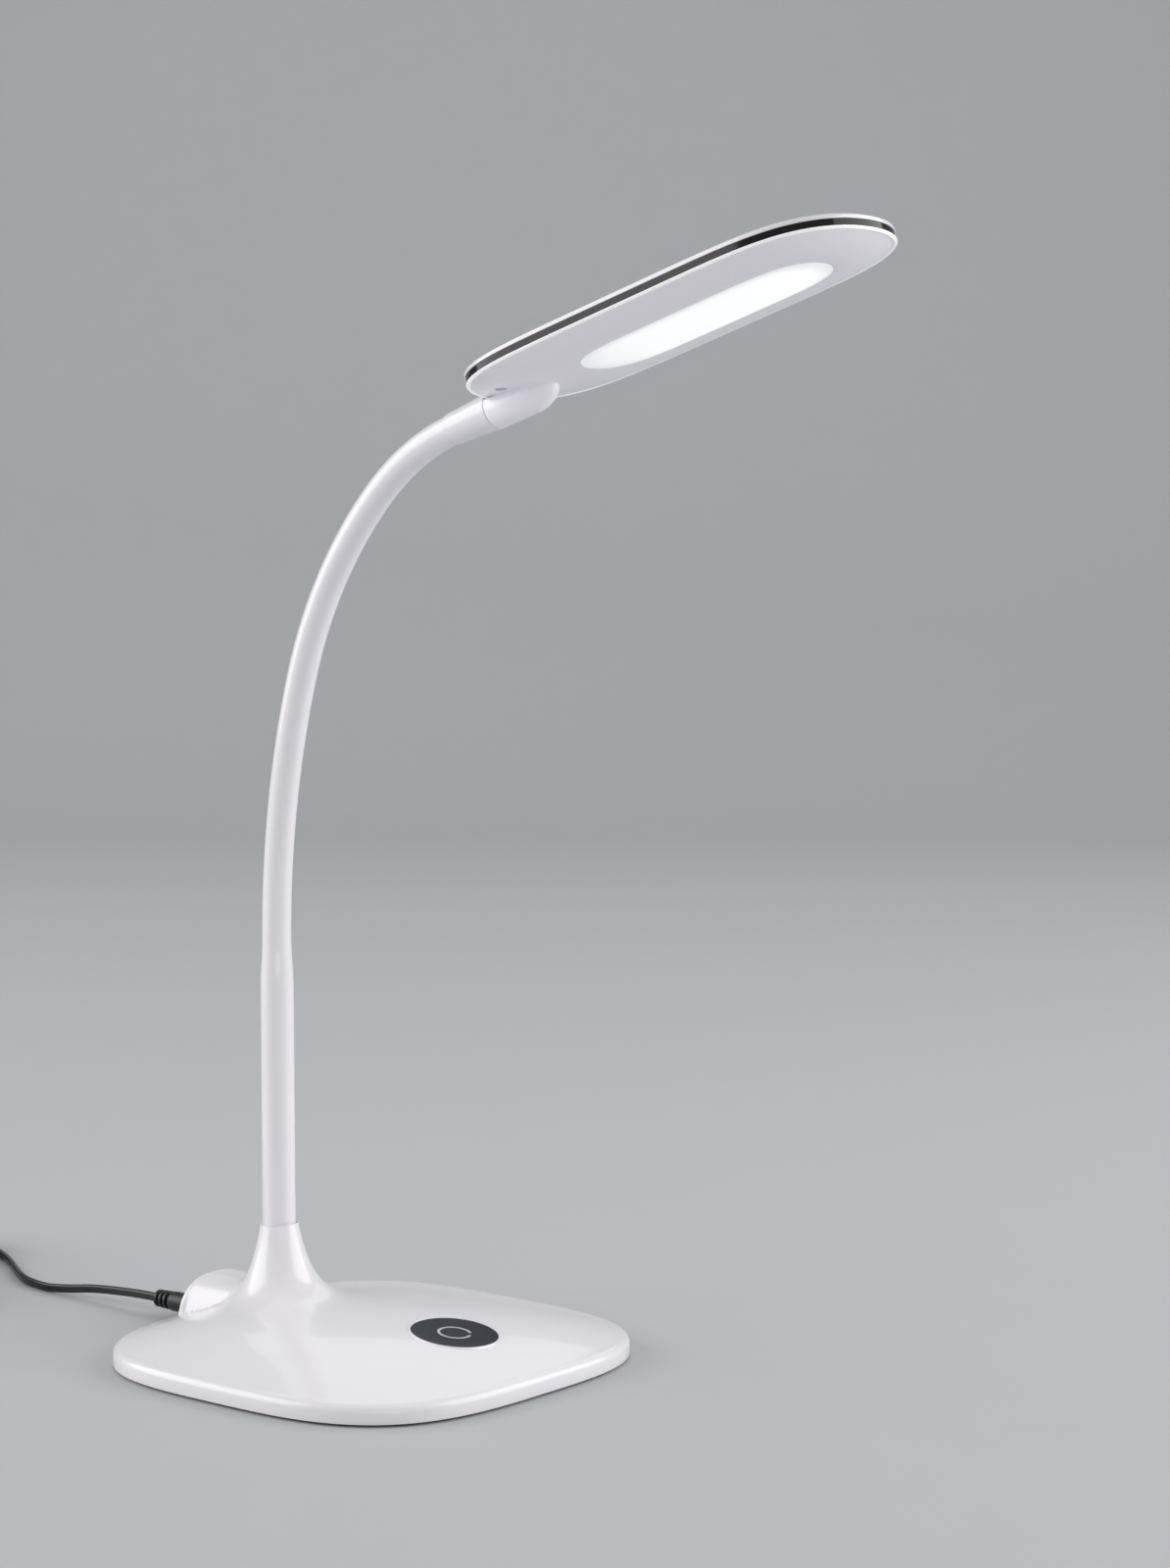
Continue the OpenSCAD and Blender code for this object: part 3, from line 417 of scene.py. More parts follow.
def white_plastic(name, colour, roughness, coat, edge=False):
    """Moulded gloss: faint clouding, a fine skin and a clear coat, and where asked a painted highlight on the
    edge, with a faint glow
    """
    m = Finish(name)
    cloud = m.noise(9.0, 3.0)
    skin = m.noise(900.0, 2.0)
    tint = m.mix(cloud, rgba(colour, 0.985), rgba(colour, 1.012))
    rough = roughness + (cloud - 0.5) * 0.05
    extra = {}
    if edge:
        # Painted highlight: where the share is high, the colour is lighter, the finish smoother and the surface
        # glows faintly
        share = m.node("ShaderNodeAttribute", {"attribute_name": "painted_light_edge_share"}, output="Fac").smooth(0.2, 0.9)
        tint = m.mix(share, tint, rgba(colour, 1.12, 0.95))
        rough = rough - share * 0.12
        extra = {"Emission_Color": m.mix(share, (0, 0, 0, 1), (1, 1, 1, 1)), "Emission_Strength": 0.16}
    return m.close(Base_Color=tint, Roughness=rough, Coat_Weight=coat, Coat_Roughness=0.035, IOR=1.45,
                   Normal=m.bump(skin, 0.03, 0.00005), **extra)


def window_material(colour):
    """Frosted light window, faintly lit from behind: greyer at the end next to the neck, and greyer at its edge as
    painted shade
    """
    m = Finish("frosted_window")
    grain = m.noise(1500.0, 2.0)
    share = m.node("ShaderNodeAttribute", {"attribute_name": "painted_light_edge_share"}, output="Fac")
    # Painted shade: towards the rim the colour is darker and the glow greyer
    rim = share.smooth(0.84, 1.0)
    tint = m.mix(rim, rgba(colour), rgba(colour, 0.95))
    x, _, _ = m.split(m.place)
    lit = m.mix(x.smooth(0.105, 0.14), (0.76, 0.75, 0.75, 1), (1, 1, 1, 1))
    glow = m.mix(rim, lit, (0.6, 0.6, 0.62, 1))
    return m.close(Base_Color=tint, Roughness=0.32 + rim * 0.1, Emission_Color=glow,
                   Emission_Strength=0.44, Normal=m.bump(grain, 0.04, 0.00004))


def black_gloss(name, colour, roughness=0.12):
    """Black gloss with a faint haze and a thin clear coat"""
    m = Finish(name)
    haze = m.noise(40.0, 3.0)
    return m.close(Base_Color=m.mix(haze, rgba(colour), rgba(colour, 1.25)),
                   Roughness=roughness + (haze - 0.5) * 0.04, IOR=1.3, Coat_Weight=0.1, Coat_Roughness=0.04)


def disc_material(colour):
    """Slate disc under a hard clear face, with painted shade: a little darker to one side"""
    m = Finish("slate_disc")
    x, y, _ = m.split(m.place)
    # Painted light and shade: the slate runs from lighter on one side to darker on the other
    painted_shade = (x * 8.0 + y * 4.0).smooth(0.15, 0.6)
    haze = m.noise(60.0, 3.0)
    tint = m.mix(painted_shade, rgba(colour, 1.25), rgba(colour, 0.8))
    return m.close(Base_Color=tint, Roughness=0.16 + (haze - 0.5) * 0.05, IOR=1.12)


def flat_print(name, colour, roughness):
    """Printed or dull finish, faintly speckled"""
    m = Finish(name)
    dots = m.noise(2500.0, 1.0)
    return m.close(Base_Color=m.mix(dots, rgba(colour, 0.9), rgba(colour, 1.1)),
                   Roughness=roughness)


def soft_black(name, colour, roughness, grain_scale=1400.0, strength=0.12):
    """Moulded black rubber or vinyl with a fine grain and worn, greyer patches"""
    m = Finish(name)
    grain = m.noise(grain_scale, 2.0)
    worn = m.noise(70.0, 4.0).smooth(0.45, 0.75)
    return m.close(Base_Color=m.mix(worn, rgba(colour), rgba([c * 1.4 + 0.002 for c in colour])),
                   Roughness=roughness + worn * 0.08, Normal=m.bump(grain, strength, 0.00006))


def metal(name, colour, roughness, stretch=(1.0, 1.0, 1.0)):
    """Drawn or plated metal with fine lines along its stretched axis"""
    m = Finish(name)
    lines = m.noise(800.0, 3.0, m.node("ShaderNodeMapping", {}, {"Vector": m.place, "Scale": stretch}))
    return m.close(Base_Color=rgba(colour), Metallic=1.0, Roughness=roughness + (lines - 0.5) * 0.15,
                   Normal=m.bump(lines, 0.08, 0.00003))


def board_material():
    """Green lacquer with copper tracks that show as slightly lighter lines"""
    m = Finish("circuit_board")
    cells = m.node("ShaderNodeTexBrick", {"offset": 0.3}, {
        "Vector": m.place, "Scale": 180.0, "Mortar Size": 0.03,
        "Color1": (0.01, 0.11, 0.05, 1), "Color2": (0.012, 0.13, 0.06, 1), "Mortar": (0.03, 0.2, 0.1, 1)})
    return m.close(Base_Color=cells, Roughness=0.35, Coat_Weight=0.4)


def floor_material(colour):
    """Matt floor that shows its own pale colour to the camera and to reflections"""
    m = Finish("pale_floor")
    grain = m.noise(30.0, 3.0)
    return m.close(Base_Color=m.mix(grain, rgba(colour, 0.985), rgba(colour)), Roughness=0.55,
                   Normal=m.bump(m.noise(400.0, 3.0), 0.04, 0.0003))


MATERIALS = {}


def make_materials(colours):
    MATERIALS.update(
        white=white_plastic("glossy_white", colours.white, 0.26, 0.4),
        # The underside's white, with painted light from below in its colour
        under=white_plastic("underside_white_painted_light", colours.under, 0.34, 0.2),
        # The lower shell's white, with painted light from below in its colour and a painted highlight on its rim
        shell=white_plastic("shell_white_painted_highlight", colours.under, 0.34, 0.2, edge=True),
        window=window_material(colours.window),
        trim=black_gloss("black_trim", colours.trim),
        disc=disc_material(colours.disc),
        mark=flat_print("grey_mark", colours.mark, 0.35),
        cord=soft_black("cord_vinyl", colours.cord, 0.26),
        plug=soft_black("plug_grip", colours.cord, 0.38, 900.0, 0.2),
        adapter=soft_black("adapter_plastic", colours.cord, 0.45, 1100.0, 0.3),
        pad=soft_black("rest_pad", [0.012, 0.012, 0.013], 0.7, 500.0, 0.4),
        plate=soft_black("grey_plate", [0.07, 0.07, 0.075], 0.5, 700.0, 0.2),
        steel=metal("plated_steel", (0.46, 0.46, 0.47), 0.36, (1.0, 1.0, 8.0)),
        core=metal("wound_core", (0.42, 0.42, 0.43), 0.4, (1.0, 1.0, 30.0)),
        nickel=metal("nickel_blades", (0.72, 0.70, 0.66), 0.22, (6.0, 1.0, 1.0)),
        aluminium=metal("plain_aluminium", (0.75, 0.75, 0.76), 0.4, (8.0, 1.0, 1.0)),
        board=board_material(),
        led=flat_print("phosphor", (0.85, 0.72, 0.2), 0.4),
        lead=flat_print("lead_jacket", (0.7, 0.68, 0.62), 0.5),
        parts=soft_black("driver_parts", [0.03, 0.03, 0.032], 0.4),
        floor=floor_material(colours.floor),
    )


SLOT_FINISH = {
    "steel": "steel", "core_steel": "core", "wire_jacket": "lead", "circuit_board": "board",
    "black_plastic": "parts", "aluminium": "aluminium", "led": "led", "nickel": "nickel", "tray": "under",
    "plate": "plate", "pad": "pad", "white_gloss": "white", "white_satin": "under", "light_window": "window",
    "black_trim": "trim", "black_lens": "disc", "ring_mark": "mark", "plug_grip": "plug", "cord": "cord",
}


# ---------------------------------------------------------------- the base's surface


def ease(share):
    """0 to 1 with soft ends"""
    return share * share * (3 - 2 * share)


def norm_radius(x, y, a, b, power):
    """0 at the centre of a squared ellipse and 1 on its outline"""
    return (np.abs(x / a) ** power + np.abs(y / b) ** power) ** (1 / power)


class Cover:
    """The base cover's surface, in metres, as the part's source has it"""

    dome_power = 2.1
    hump_power = 2.9
    blend = 1.2 * MM
    fade_from, fade_over = 10 * MM, 18 * MM

    def __init__(self, sizes):
        self.s = sizes
        self.a, self.b = (BASE_HIGH[:2] - BASE_LOW[:2]) / 2
        self.neck_x = PIVOTS[0][0]
        self.flare_h = sizes.collar_top - self.dome(self.neck_x, 0.0)

    def dome(self, x, y):
        return self.s.rim_top + self.s.dome_rise * (
            1 - norm_radius(x, y, self.a, self.b, self.s.square) ** self.dome_power)

    def flare(self, r):
        return self.flare_h * np.exp((self.s.collar_r - r) / self.s.flare_len)

    def hump(self, x, y, inset):
        half, top = self.s.hump_half - inset, self.s.hump_top - inset
        across = np.clip(np.abs(y) / half, 0, 1)
        arch = top * (1 - across ** self.hump_power) ** (1 / self.hump_power)
        return arch * (1 - ease(np.clip((x - self.neck_x + self.fade_from) / self.fade_over, 0, 1)))

    def height(self, x, y, inset=0.0):
        low = self.dome(x, y) - inset + self.flare(np.hypot(x - self.neck_x, y) + inset)
        hump = self.hump(x, y, inset)
        return np.maximum(low, hump) + self.blend * np.log1p(np.exp(-np.abs(low - hump) / self.blend))

    def reach(self, directions):
        """Distance from the neck's axis to the outline along each direction"""
        low, high = np.zeros(len(directions)), np.full(len(directions), 4 * self.a)
        for _ in range(40):
            middle = (low + high) / 2
            inside = norm_radius(middle * np.cos(directions) + self.neck_x, middle * np.sin(directions),
                                 self.a, self.b, self.s.square) < 1
            low, high = np.where(inside, middle, low), np.where(inside, high, middle)
        return low


def touch_place(cover):
    """Matrix of the touch disc's face: it leans as the dome does there and lies a little below it"""
    x, step, sunk = cover.s.touch_x, MM, 0.1 * MM
    lean = math.atan2(cover.dome(x - step, 0.0) - cover.dome(x + step, 0.0), 2 * step)
    return Matrix.Translation((x, 0, cover.dome(x, 0.0) - sunk)) @ Matrix.Rotation(lean, 4, "Y")


ALONG_X = Matrix.Rotation(math.pi / 2, 4, "Y")


def cutter(name, radius, length, matrix):
    """A round tool that runs up from the matrix's origin"""
    return place(lathe(name, [(0.0, radius), (length, radius)], (0, 0, 0), (0, 0, 1), sides=128), matrix)


def carve(obj, cutters):
    """Cuts each cutter out of a solid and removes the cutters"""
    for tool in cutters:
        modifier = obj.modifiers.new("Cut", "BOOLEAN")
        modifier.operation = "DIFFERENCE"
        modifier.solver = "EXACT"
        modifier.object = tool
    settle(obj)
    for tool in cutters:
        bpy.data.objects.remove(tool)
    return obj


def cover_solid(sizes):
    """The cover as one wall: from the collar's mouth over the dome, round the rim and back up inside"""
    cover = Cover(sizes)
    hump_span, hump_step, front_count = 29.0, 0.8, 150
    rear = np.radians(np.arange(-hump_span, hump_span + 0.01, hump_step)) + math.pi
    front = np.linspace(rear[-1], rear[0] + 2 * math.pi, front_count)[1:-1]
    directions = np.concatenate([rear, front])
    reach = cover.reach(directions)
    cosine, sine = np.cos(directions), np.sin(directions)

    def level(radii, z):
        """A ring at given heights"""
        return np.stack([radii * cosine + cover.neck_x, radii * sine, z + 0 * cosine], axis=1)

    def skin(radii, inset=0.0):
        """A ring that follows the cover's surface, inset below it"""
        x, y = radii * cosine + cover.neck_x, radii * sine
        return np.stack([x, y, cover.height(x, y, inset)], axis=1)

    collar, turn, wall, low = sizes.collar_r, sizes.rim_round, sizes.wall, sizes.lift
    lip, foot, bore_wall, rim_gap = 0.05 * MM, 0.1 * MM, 0.9 * MM, 0.6 * MM
    rings = [level(collar - 6 * lip, sizes.collar_top), level(collar - 2.4 * lip, sizes.collar_top - lip),
             level(collar - 0.4 * lip, sizes.collar_top - 3 * lip)]
    edge = reach - turn
    for share in np.linspace(0, 1, 72) ** 1.7:
        rings.append(skin((collar + lip) + (edge - collar - lip) * share))
    edge_z = rings[-1][:, 2]
    for angle in np.radians(np.linspace(10, 90, 9)):
        rings.append(level(reach - turn * (1 - np.sin(angle)), edge_z - turn * (1 - np.cos(angle))))
    rings += [level(reach, low + 4 * foot), level(reach - foot, low + foot), level(reach - 4 * foot, low),
              level(reach - wall, low), level(reach - wall, edge_z - turn)]
    bore = collar - bore_wall
    for share in np.linspace(1, 0, 24) ** 1.6:
        rings.append(skin(bore + (edge - rim_gap - bore) * share, wall))
    rings.append(level(bore, sizes.collar_top))
    return cover, ring_solid("base_shell", rings, wrap=True)


class LAMP_OT_base_cover(bpy.types.Operator):
    """White base cover with its flared collar, its hump and the touch disc's seat"""

    bl_idname = "lamp.base_cover"
    bl_label = "Base cover"

    def execute(self, context):
        sizes = context.scene.lamp_base
        cover, obj = cover_solid(sizes)
        seat_gap, seat_deep, seat_tall = 0.12 * MM, 1.2 * MM, 12 * MM
        socket_r, socket_from, socket_len = 3.65 * MM, 5 * MM, 15 * MM
        disc = cutter("seat_tool", sizes.touch_r + seat_gap, seat_tall,
                      touch_place(cover) @ Matrix.Translation((0, 0, -seat_deep)))
        socket_z = np.mean([corner[2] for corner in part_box("power_jack")])
        socket = cutter("socket_tool", socket_r, socket_len,
                        Matrix.Translation((BASE_LOW[0] - socket_from, 0, socket_z)) @ ALONG_X)
        carve(obj, [disc, socket])
        dress(obj, "base", "white_gloss", "base_cover")
        return {"FINISHED"}


class LAMP_OT_touch_control(bpy.types.Operator):
    """Slate touch disc with a bevelled edge, the cover's thin lip round it and the grey ring mark"""

    bl_idname = "lamp.touch_control"
    bl_label = "Touch control"

    def execute(self, context):
        sizes = context.scene.lamp_base
        seat = touch_place(Cover(sizes))
        r, bevel, proud, deep = sizes.touch_r, 0.22 * MM, 0.12 * MM, 1.0 * MM
        profile = [(-deep, r - 0.05 * MM), (proud - bevel, r)]
        profile += [(z, radius) for radius, z in rounded(bevel, (r - bevel, proud - bevel), 15, 90)]
        profile += [(proud, r * 0.75), (proud, r * 0.4)]
        disc = place(lathe("touch_disc", profile, (0, 0, 0), (0, 0, 1), sides=160), seat)
        dress(disc, "base", "black_lens", "touch_lens")

        inner, outer, bead, low = r + 0.06 * MM, r + 1.2 * MM, 0.3 * MM, -0.9 * MM
        lip = [(inner, low), (inner, 0.1 * MM)] + rounded(bead, (inner + bead, 0.08 * MM), 165, 15, 9)
        lip += [(outer, low / 2), (outer, low)]
        turns = np.linspace(0, 2 * math.pi, 160, endpoint=False)
        rings = [[(radius * math.cos(t), radius * math.sin(t), z) for t in turns] for radius, z in lip]
        rim = place(ring_solid("disc_rim", rings, wrap=True), seat)
        dress(rim, "base", "white_gloss")

        near, far, top = sizes.ring_r - sizes.ring_w / 2, sizes.ring_r + sizes.ring_w / 2, proud + 0.05 * MM
        strip = [(near, proud), (far, proud), (far, top), (near, top)]
        half_gap, gap_at = math.radians(13), math.radians(39)
        turns = gap_at + np.linspace(half_gap, 2 * math.pi - half_gap, 90)
        rings = [[(radius * math.cos(t), radius * math.sin(t), z) for radius, z in strip] for t in turns]
        mark = place(ring_solid("ring_mark", rings, flip=True), seat)
        dress(mark, "base", "ring_mark", "touch_ring")
        return {"FINISHED"}


# ---------------------------------------------------------------- geometry trees


def curve_object(name, points, radii=None):
    """An open curve through the points, with a radius for each where a tree reads them"""
    data = bpy.data.curves.new(name, "CURVE")
    data.dimensions = "3D"
    spline = data.splines.new("POLY")
    spline.points.add(len(points) - 1)
    for spot, point, radius in zip(spline.points, points, np.ones(len(points)) if radii is None else radii):
        spot.co, spot.radius = (*point, 1.0), radius
    obj = bpy.data.objects.new(name, data)
    bpy.context.collection.objects.link(obj)
    return obj


class Tree(Maker):
    """A geometry tree with named inputs"""

    def __init__(self, name):
        self.group = bpy.data.node_groups.new(name, "GeometryNodeTree")
        super().__init__(self.group)
        self.group.interface.new_socket("Geometry", in_out="INPUT", socket_type="NodeSocketGeometry")
        self.group.interface.new_socket("Geometry", in_out="OUTPUT", socket_type="NodeSocketGeometry")
        self.entry = self.group.nodes.new("NodeGroupInput")
        self.identifiers = {}

    def geometry(self):
        return Socket(self, self.entry.outputs[0])

    def circle(self, sides):
        return self.node("GeometryNodeCurvePrimitiveCircle", {"mode": "RADIUS"},
                         {"Resolution": sides, "Radius": 1.0})

    def sweep(self, curve, profile, **more):
        return self.node("GeometryNodeCurveToMesh", {},
                         {"Curve": curve, "Profile Curve": profile, "Fill Caps": True, **more})

    def value(self, name, default, kind="NodeSocketFloat"):
        item = self.group.interface.new_socket(name, in_out="INPUT", socket_type=kind)
        item.default_value = default
        self.identifiers[name] = item.identifier
        return Socket(self, self.entry.outputs[name])

    def close(self, geometry, material):
        real = self.node("GeometryNodeRealizeInstances", {}, {0: geometry})
        painted = self.node("GeometryNodeSetMaterial", {}, {"Geometry": real, "Material": material})
        self.add("NodeGroupOutput", {}, {0: painted})

    def grow(self, obj, **values):
        """Runs the tree on an object and keeps the result as its mesh"""
        modifier = obj.modifiers.new(self.group.name, "NODES")
        modifier.node_group = self.group
        for name, value in values.items():
            modifier[self.identifiers[name]] = value
        return settle(obj)


def sleeve_tree(material):
    """Follows a curve with a round sleeve, as thick as the curve's own radius says"""
    tree = Tree("sleeve")
    sides = tree.value("sides", 72, "NodeSocketInt")
    thick = tree.node("GeometryNodeInputRadius")
    tree.close(tree.sweep(tree.geometry(), tree.circle(sides), Scale=thick), material)
    return tree


def twin_cord_tree(material):
    """Follows a curve with two round cores, grooved where they meet, which turn from on edge to flat"""
    tree = Tree("twin_cord")
    core = tree.value("core_radius", 1.2 * MM)
    spread = tree.value("core_spread", 0.6 * MM)
    turn = tree.value("first_turn", math.radians(65))
    flat_from = tree.value("flat_from", 0.12)
    flat_by = tree.value("flat_by", 0.16)
    x, y, _ = tree.split(tree.node("GeometryNodeInputPosition"))
    reach = abs(x) * spread + (core * core - y * y * spread * spread).sqrt()
    point = tree.node("ShaderNodeCombineXYZ", {}, {0: x * reach, 1: y * reach})
    profile = tree.node("GeometryNodeSetPosition", {}, {"Geometry": tree.circle(24), "Position": point})
    level = tree.node("GeometryNodeSetCurveNormal", {"mode": "Z_UP"}, {0: tree.geometry()})
    along = tree.node("GeometryNodeSplineParameter", output="Length")
    tilt = turn * (1.0 - along.smooth(flat_from, flat_by))
    tilted = tree.node("GeometryNodeSetCurveTilt", {}, {"Curve": level, "Tilt": tilt})
    tree.close(tree.sweep(tilted, profile), material)
    return tree


def ribs_tree(material):
    """A row of rings along +Z, each a little smaller than the last"""
    tree = Tree("relief_ribs")
    count = tree.value("count", 3, "NodeSocketInt")
    pitch = tree.value("pitch", 2.6 * MM)
    radius = tree.value("radius", 3.75 * MM)
    thick = tree.value("thickness", 1.5 * MM)
    step = tree.node("ShaderNodeCombineXYZ", {}, {2: pitch})
    line = tree.node("GeometryNodeMeshLine", {"mode": "OFFSET"}, {"Count": count, "Offset": step})
    disc = tree.node("GeometryNodeMeshCylinder", {"fill_type": "NGON"},
                     {"Vertices": 64, "Radius": radius, "Depth": thick})
    index = tree.node("GeometryNodeInputIndex")
    shrink = 1.0 - index * 0.03
    scale = tree.node("ShaderNodeCombineXYZ", {}, {0: shrink, 1: shrink, 2: 1.0})
    ribs = tree.node("GeometryNodeInstanceOnPoints", {}, {"Points": line, "Instance": disc, "Scale": scale})
    tree.close(ribs, material)
    return tree


# ---------------------------------------------------------------- the neck


def arc_between(start, heading, end, steps):
    """Points of the arc that leaves start along heading and ends at end, and its last heading"""
    chord = end - start
    normal = np.cross(heading, chord)
    half = math.asin(min(1.0, np.linalg.norm(normal) / np.linalg.norm(chord)))
    if half < 1e-6:
        return [start + chord * s for s in np.linspace(0, 1, steps)], heading
    normal = normal / np.linalg.norm(normal)
    radius = np.linalg.norm(chord) / (2 * math.sin(half))
    inward = np.cross(normal, heading)
    angles = np.linspace(0, 2 * half, steps)
    points = [start + radius * (math.sin(a) * heading + (1 - math.cos(a)) * inward) for a in angles]
    return points, math.cos(2 * half) * heading + math.sin(2 * half) * inward


def neck_line(ferrule_len, foot_z, step=1.2 * MM):
    """The neck's centre line from the foot to the end sleeve, and the index of each pivot and of the end"""
    heading = np.array([0.0, 0.0, 1.0])
    foot = np.array([PIVOTS[0][0], 0.0, foot_z])
    count = max(2, int((PIVOTS[0][2] - foot_z) / step))
    points = [foot + (PIVOTS[0] - foot) * s for s in np.linspace(0, 1, count)]
    marks = [count - 1]
    stops = PIVOTS[1:] + [SWIVEL - ferrule_len * HEAD_AXIS]
    for start, end in zip(PIVOTS, stops):
        steps = int(np.linalg.norm(end - start) / step) // 2 * 2 + 1
        arc, heading = arc_between(start, heading, end, steps)
        points += arc[1:]
        marks.append(len(points) - 1)
    return np.array(points), marks


class LAMP_OT_neck(bpy.types.Operator):
    """White sleeve of the neck: one stretch for each bend, which meet in the middle of the links"""

    bl_idname = "lamp.neck"
    bl_label = "Neck sleeve"

    def execute(self, context):
        sizes = context.scene.lamp_neck
        lap, sides, still = 7 * MM, 72, 0.12
        points, marks = neck_line(sizes.ferrule_len, context.scene.lamp_base.collar_top - lap)
        rise = np.clip((points[:, 2] - sizes.taper_from) / (sizes.taper_to - sizes.taper_from), 0, 1)
        rise[marks[0]:] = 1.0
        radii = sizes.foot_r + (sizes.sleeve_r - sizes.foot_r) * ease(rise)
        bodies = ["base"] + [f"link_{k}" for k in range(1, 8)]
        middles = [(a + b) // 2 for a, b in zip(marks, marks[1:])]
        # The first stretch reaches as far below its pivot as above it.
        foot_end = 2 * PIVOTS[0][2] - points[middles[0], 2]
        lower = int(np.argmin(np.abs(points[:, 2] - foot_end)))
        cuts = [lower] + middles[:-1] + [len(points) - 1]
        tree = sleeve_tree(MATERIALS["white"])
        foot = tree.grow(curve_object("neck_foot", points[:lower + 1], radii[:lower + 1]), sides=sides)
        dress(foot, "base", "white_gloss", "foot_sleeve")
        for k, (low, high) in enumerate(zip(cuts, cuts[1:])):
            span = slice(low, high + 1)
            obj = tree.grow(curve_object(f"neck_bend_{k + 1}", points[span], radii[span]), sides=sides)
            paint(obj, "white")
            start = points[middles[k - 1]] if k else points[low] + still * (points[middles[0]] - PIVOTS[0])
            bodies[k + 1]
            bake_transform(obj)
            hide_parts(f"neck_sleeve_{k + 1}")
        return {"FINISHED"}


class LAMP_OT_ferrule(bpy.types.Operator):
    """Flared end sleeve between the neck and the head's swivel"""

    bl_idname = "lamp.ferrule"
    bl_label = "End sleeve"

    def execute(self, context):
        sizes = context.scene.lamp_neck
        mouth, top, gap, bore = sizes.sleeve_r + 0.5 * MM, sizes.housing_r, 0.3 * MM, 3.6 * MM
        full = sizes.ferrule_len + sizes.ferrule_back
        end = full - gap
        profile = [(0.0, sizes.sleeve_r - 0.4 * MM), (0.0, mouth - 0.25 * MM), (0.1 * MM, mouth - 0.05 * MM)]
        for share in np.linspace(0.02, 0.985, 20):
            profile.append((share * end, mouth + (top - mouth) * share ** 1.3))
        profile += [(end - 0.1 * MM, top - 0.03 * MM), (end, top - 0.2 * MM), (end, bore)]
        start = SWIVEL - full * HEAD_AXIS
        obj = lathe("end_sleeve", profile, start, HEAD_AXIS)
        dress(obj, "link_7", "white_gloss", "ferrule")
        return {"FINISHED"}


# ---------------------------------------------------------------- the head


END_SQUARE, SIDE_SQUARE = 5.8, 2.1


def head_place(roll):
    """Matrix from the head's own frame, whose X runs along the head, to the lamp's"""
    x = Vector(HEAD_AXIS)
    y = Vector((0, 1, 0))
    z = x.cross(y)
    turn = Matrix((x, y, z)).transposed().to_4x4()
    return Matrix.Translation(Vector(SWIVEL)) @ turn @ Matrix.Rotation(roll, 4, "X")


def oval(a, b, centre, steps=44):
    """Outline with full ends: close points along the sides and round the corners"""
    quarter = np.radians(90 * (1 - (1 - np.linspace(0, 1, steps + 1)) ** 1.6))
    turns = np.concatenate([quarter, math.pi - quarter[-2::-1], math.pi + quarter[1:],
                            2 * math.pi - quarter[-2:0:-1]])
    cosine, sine = np.cos(turns), np.sin(turns)
    return np.stack([centre + a * np.sign(cosine) * np.abs(cosine) ** (2 / END_SQUARE),
                     b * np.sign(sine) * np.abs(sine) ** (2 / SIDE_SQUARE)], axis=1)


def lift(flat, z):
    """Points of a flat outline at one height"""
    return np.column_stack([flat, np.full(len(flat), z)])


class Head:
    """Outlines and heights of the head, in its own frame"""

    def __init__(self, sizes):
        self.s = sizes
        self.start = 0.3 * MM
        self.centre = sizes.length / 2 + self.start
        self.window_u = self.centre + sizes.window_fore
        self.low = sizes.rim_rise - sizes.belly

    def outline(self, inset=0.0):
        return oval(self.s.length / 2 - inset, self.s.width / 2 - inset, self.centre)

    def window(self, inset=0.0):
        return oval(self.s.window_len / 2 - inset, self.s.window_wid / 2 - inset, self.window_u)

    def belly(self, share):
        return self.s.rim_rise - self.s.belly * (1 - share ** 2)

    def belly_at(self, u):
        near = self.window_u - self.s.window_len / 2
        return self.belly(np.clip((near - u) / (near - self.start), 0, 1))


def lower_shell(head):
    """The shell as one wall: from the window over the belly, the bead and the rim, and back inside"""
    rim, wall, window, start = head.s.rim_rise, 1.8 * MM, head.window(), head.low
    edge, round_in, round_out = 0.6 * MM, 0.35 * MM, 0.1 * MM
    bead, bead_half, bead_in, bead_room = 0.35 * MM, 0.37 * MM, 0.33 * MM, 0.75 * MM
    outer, inner = head.outline(edge + bead_room), head.outline(wall)
    rings = [lift(window, start + wall), lift(window, start + round_in),
             lift(head.window(-round_out), start + round_out)]
    for share in np.linspace(0.03, 1, 30):
        rings.append(lift(window + (outer - window) * share, head.belly(share) - edge * share))
    painted_highlight_from = len(rings)
    for turn in np.radians(np.linspace(10, 170, 9)):
        rings.append(lift(head.outline(edge + bead_in + bead_half * math.cos(turn)),
                          rim - edge - bead * math.sin(turn)))
    top = rim - 0.05 * MM
    for angle in np.radians(np.linspace(18, 90, 5)):
        rings.append(lift(head.outline(edge * (1 - math.sin(angle))), top - edge * math.cos(angle)))
    rings += [lift(head.outline(0.06 * MM), rim), lift(inner, rim)]
    painted_highlight_to = len(rings)
    for share in np.linspace(0.9, 0, 8):
        rings.append(lift(window + (inner - window) * share, min(top, head.belly(share) + wall)))
    obj = ring_solid("lower_shell", rings, wrap=True)
    # Painted highlight mask: the bead and rim rings get a lighter colour and a faint glow in the shell's material
    lit = np.zeros(len(rings))
    lit[painted_highlight_from:painted_highlight_to] = 1.0
    mark_painted_light_edge(obj, np.repeat(lit, len(window)))
    return obj


def carved_shell(head):
    """The lower shell with its two screw recesses and a clear way for the lead"""
    lead_r, lead_way = 2.4 * MM, 19 * MM
    recess_r, recess_from, recess_len = 2.1 * MM, 5.1 * MM, 6 * MM
    u, v = head.s.screw_u, head.s.screw_v
    tools = [cutter("lead_tool", lead_r, lead_way, ALONG_X)]
    tools += [cutter("recess_tool", recess_r, recess_len,
                     Matrix.Translation((u, side * v, head.belly_at(u) - recess_from))) for side in (-1, 1)]
    return carve(lower_shell(head), tools)


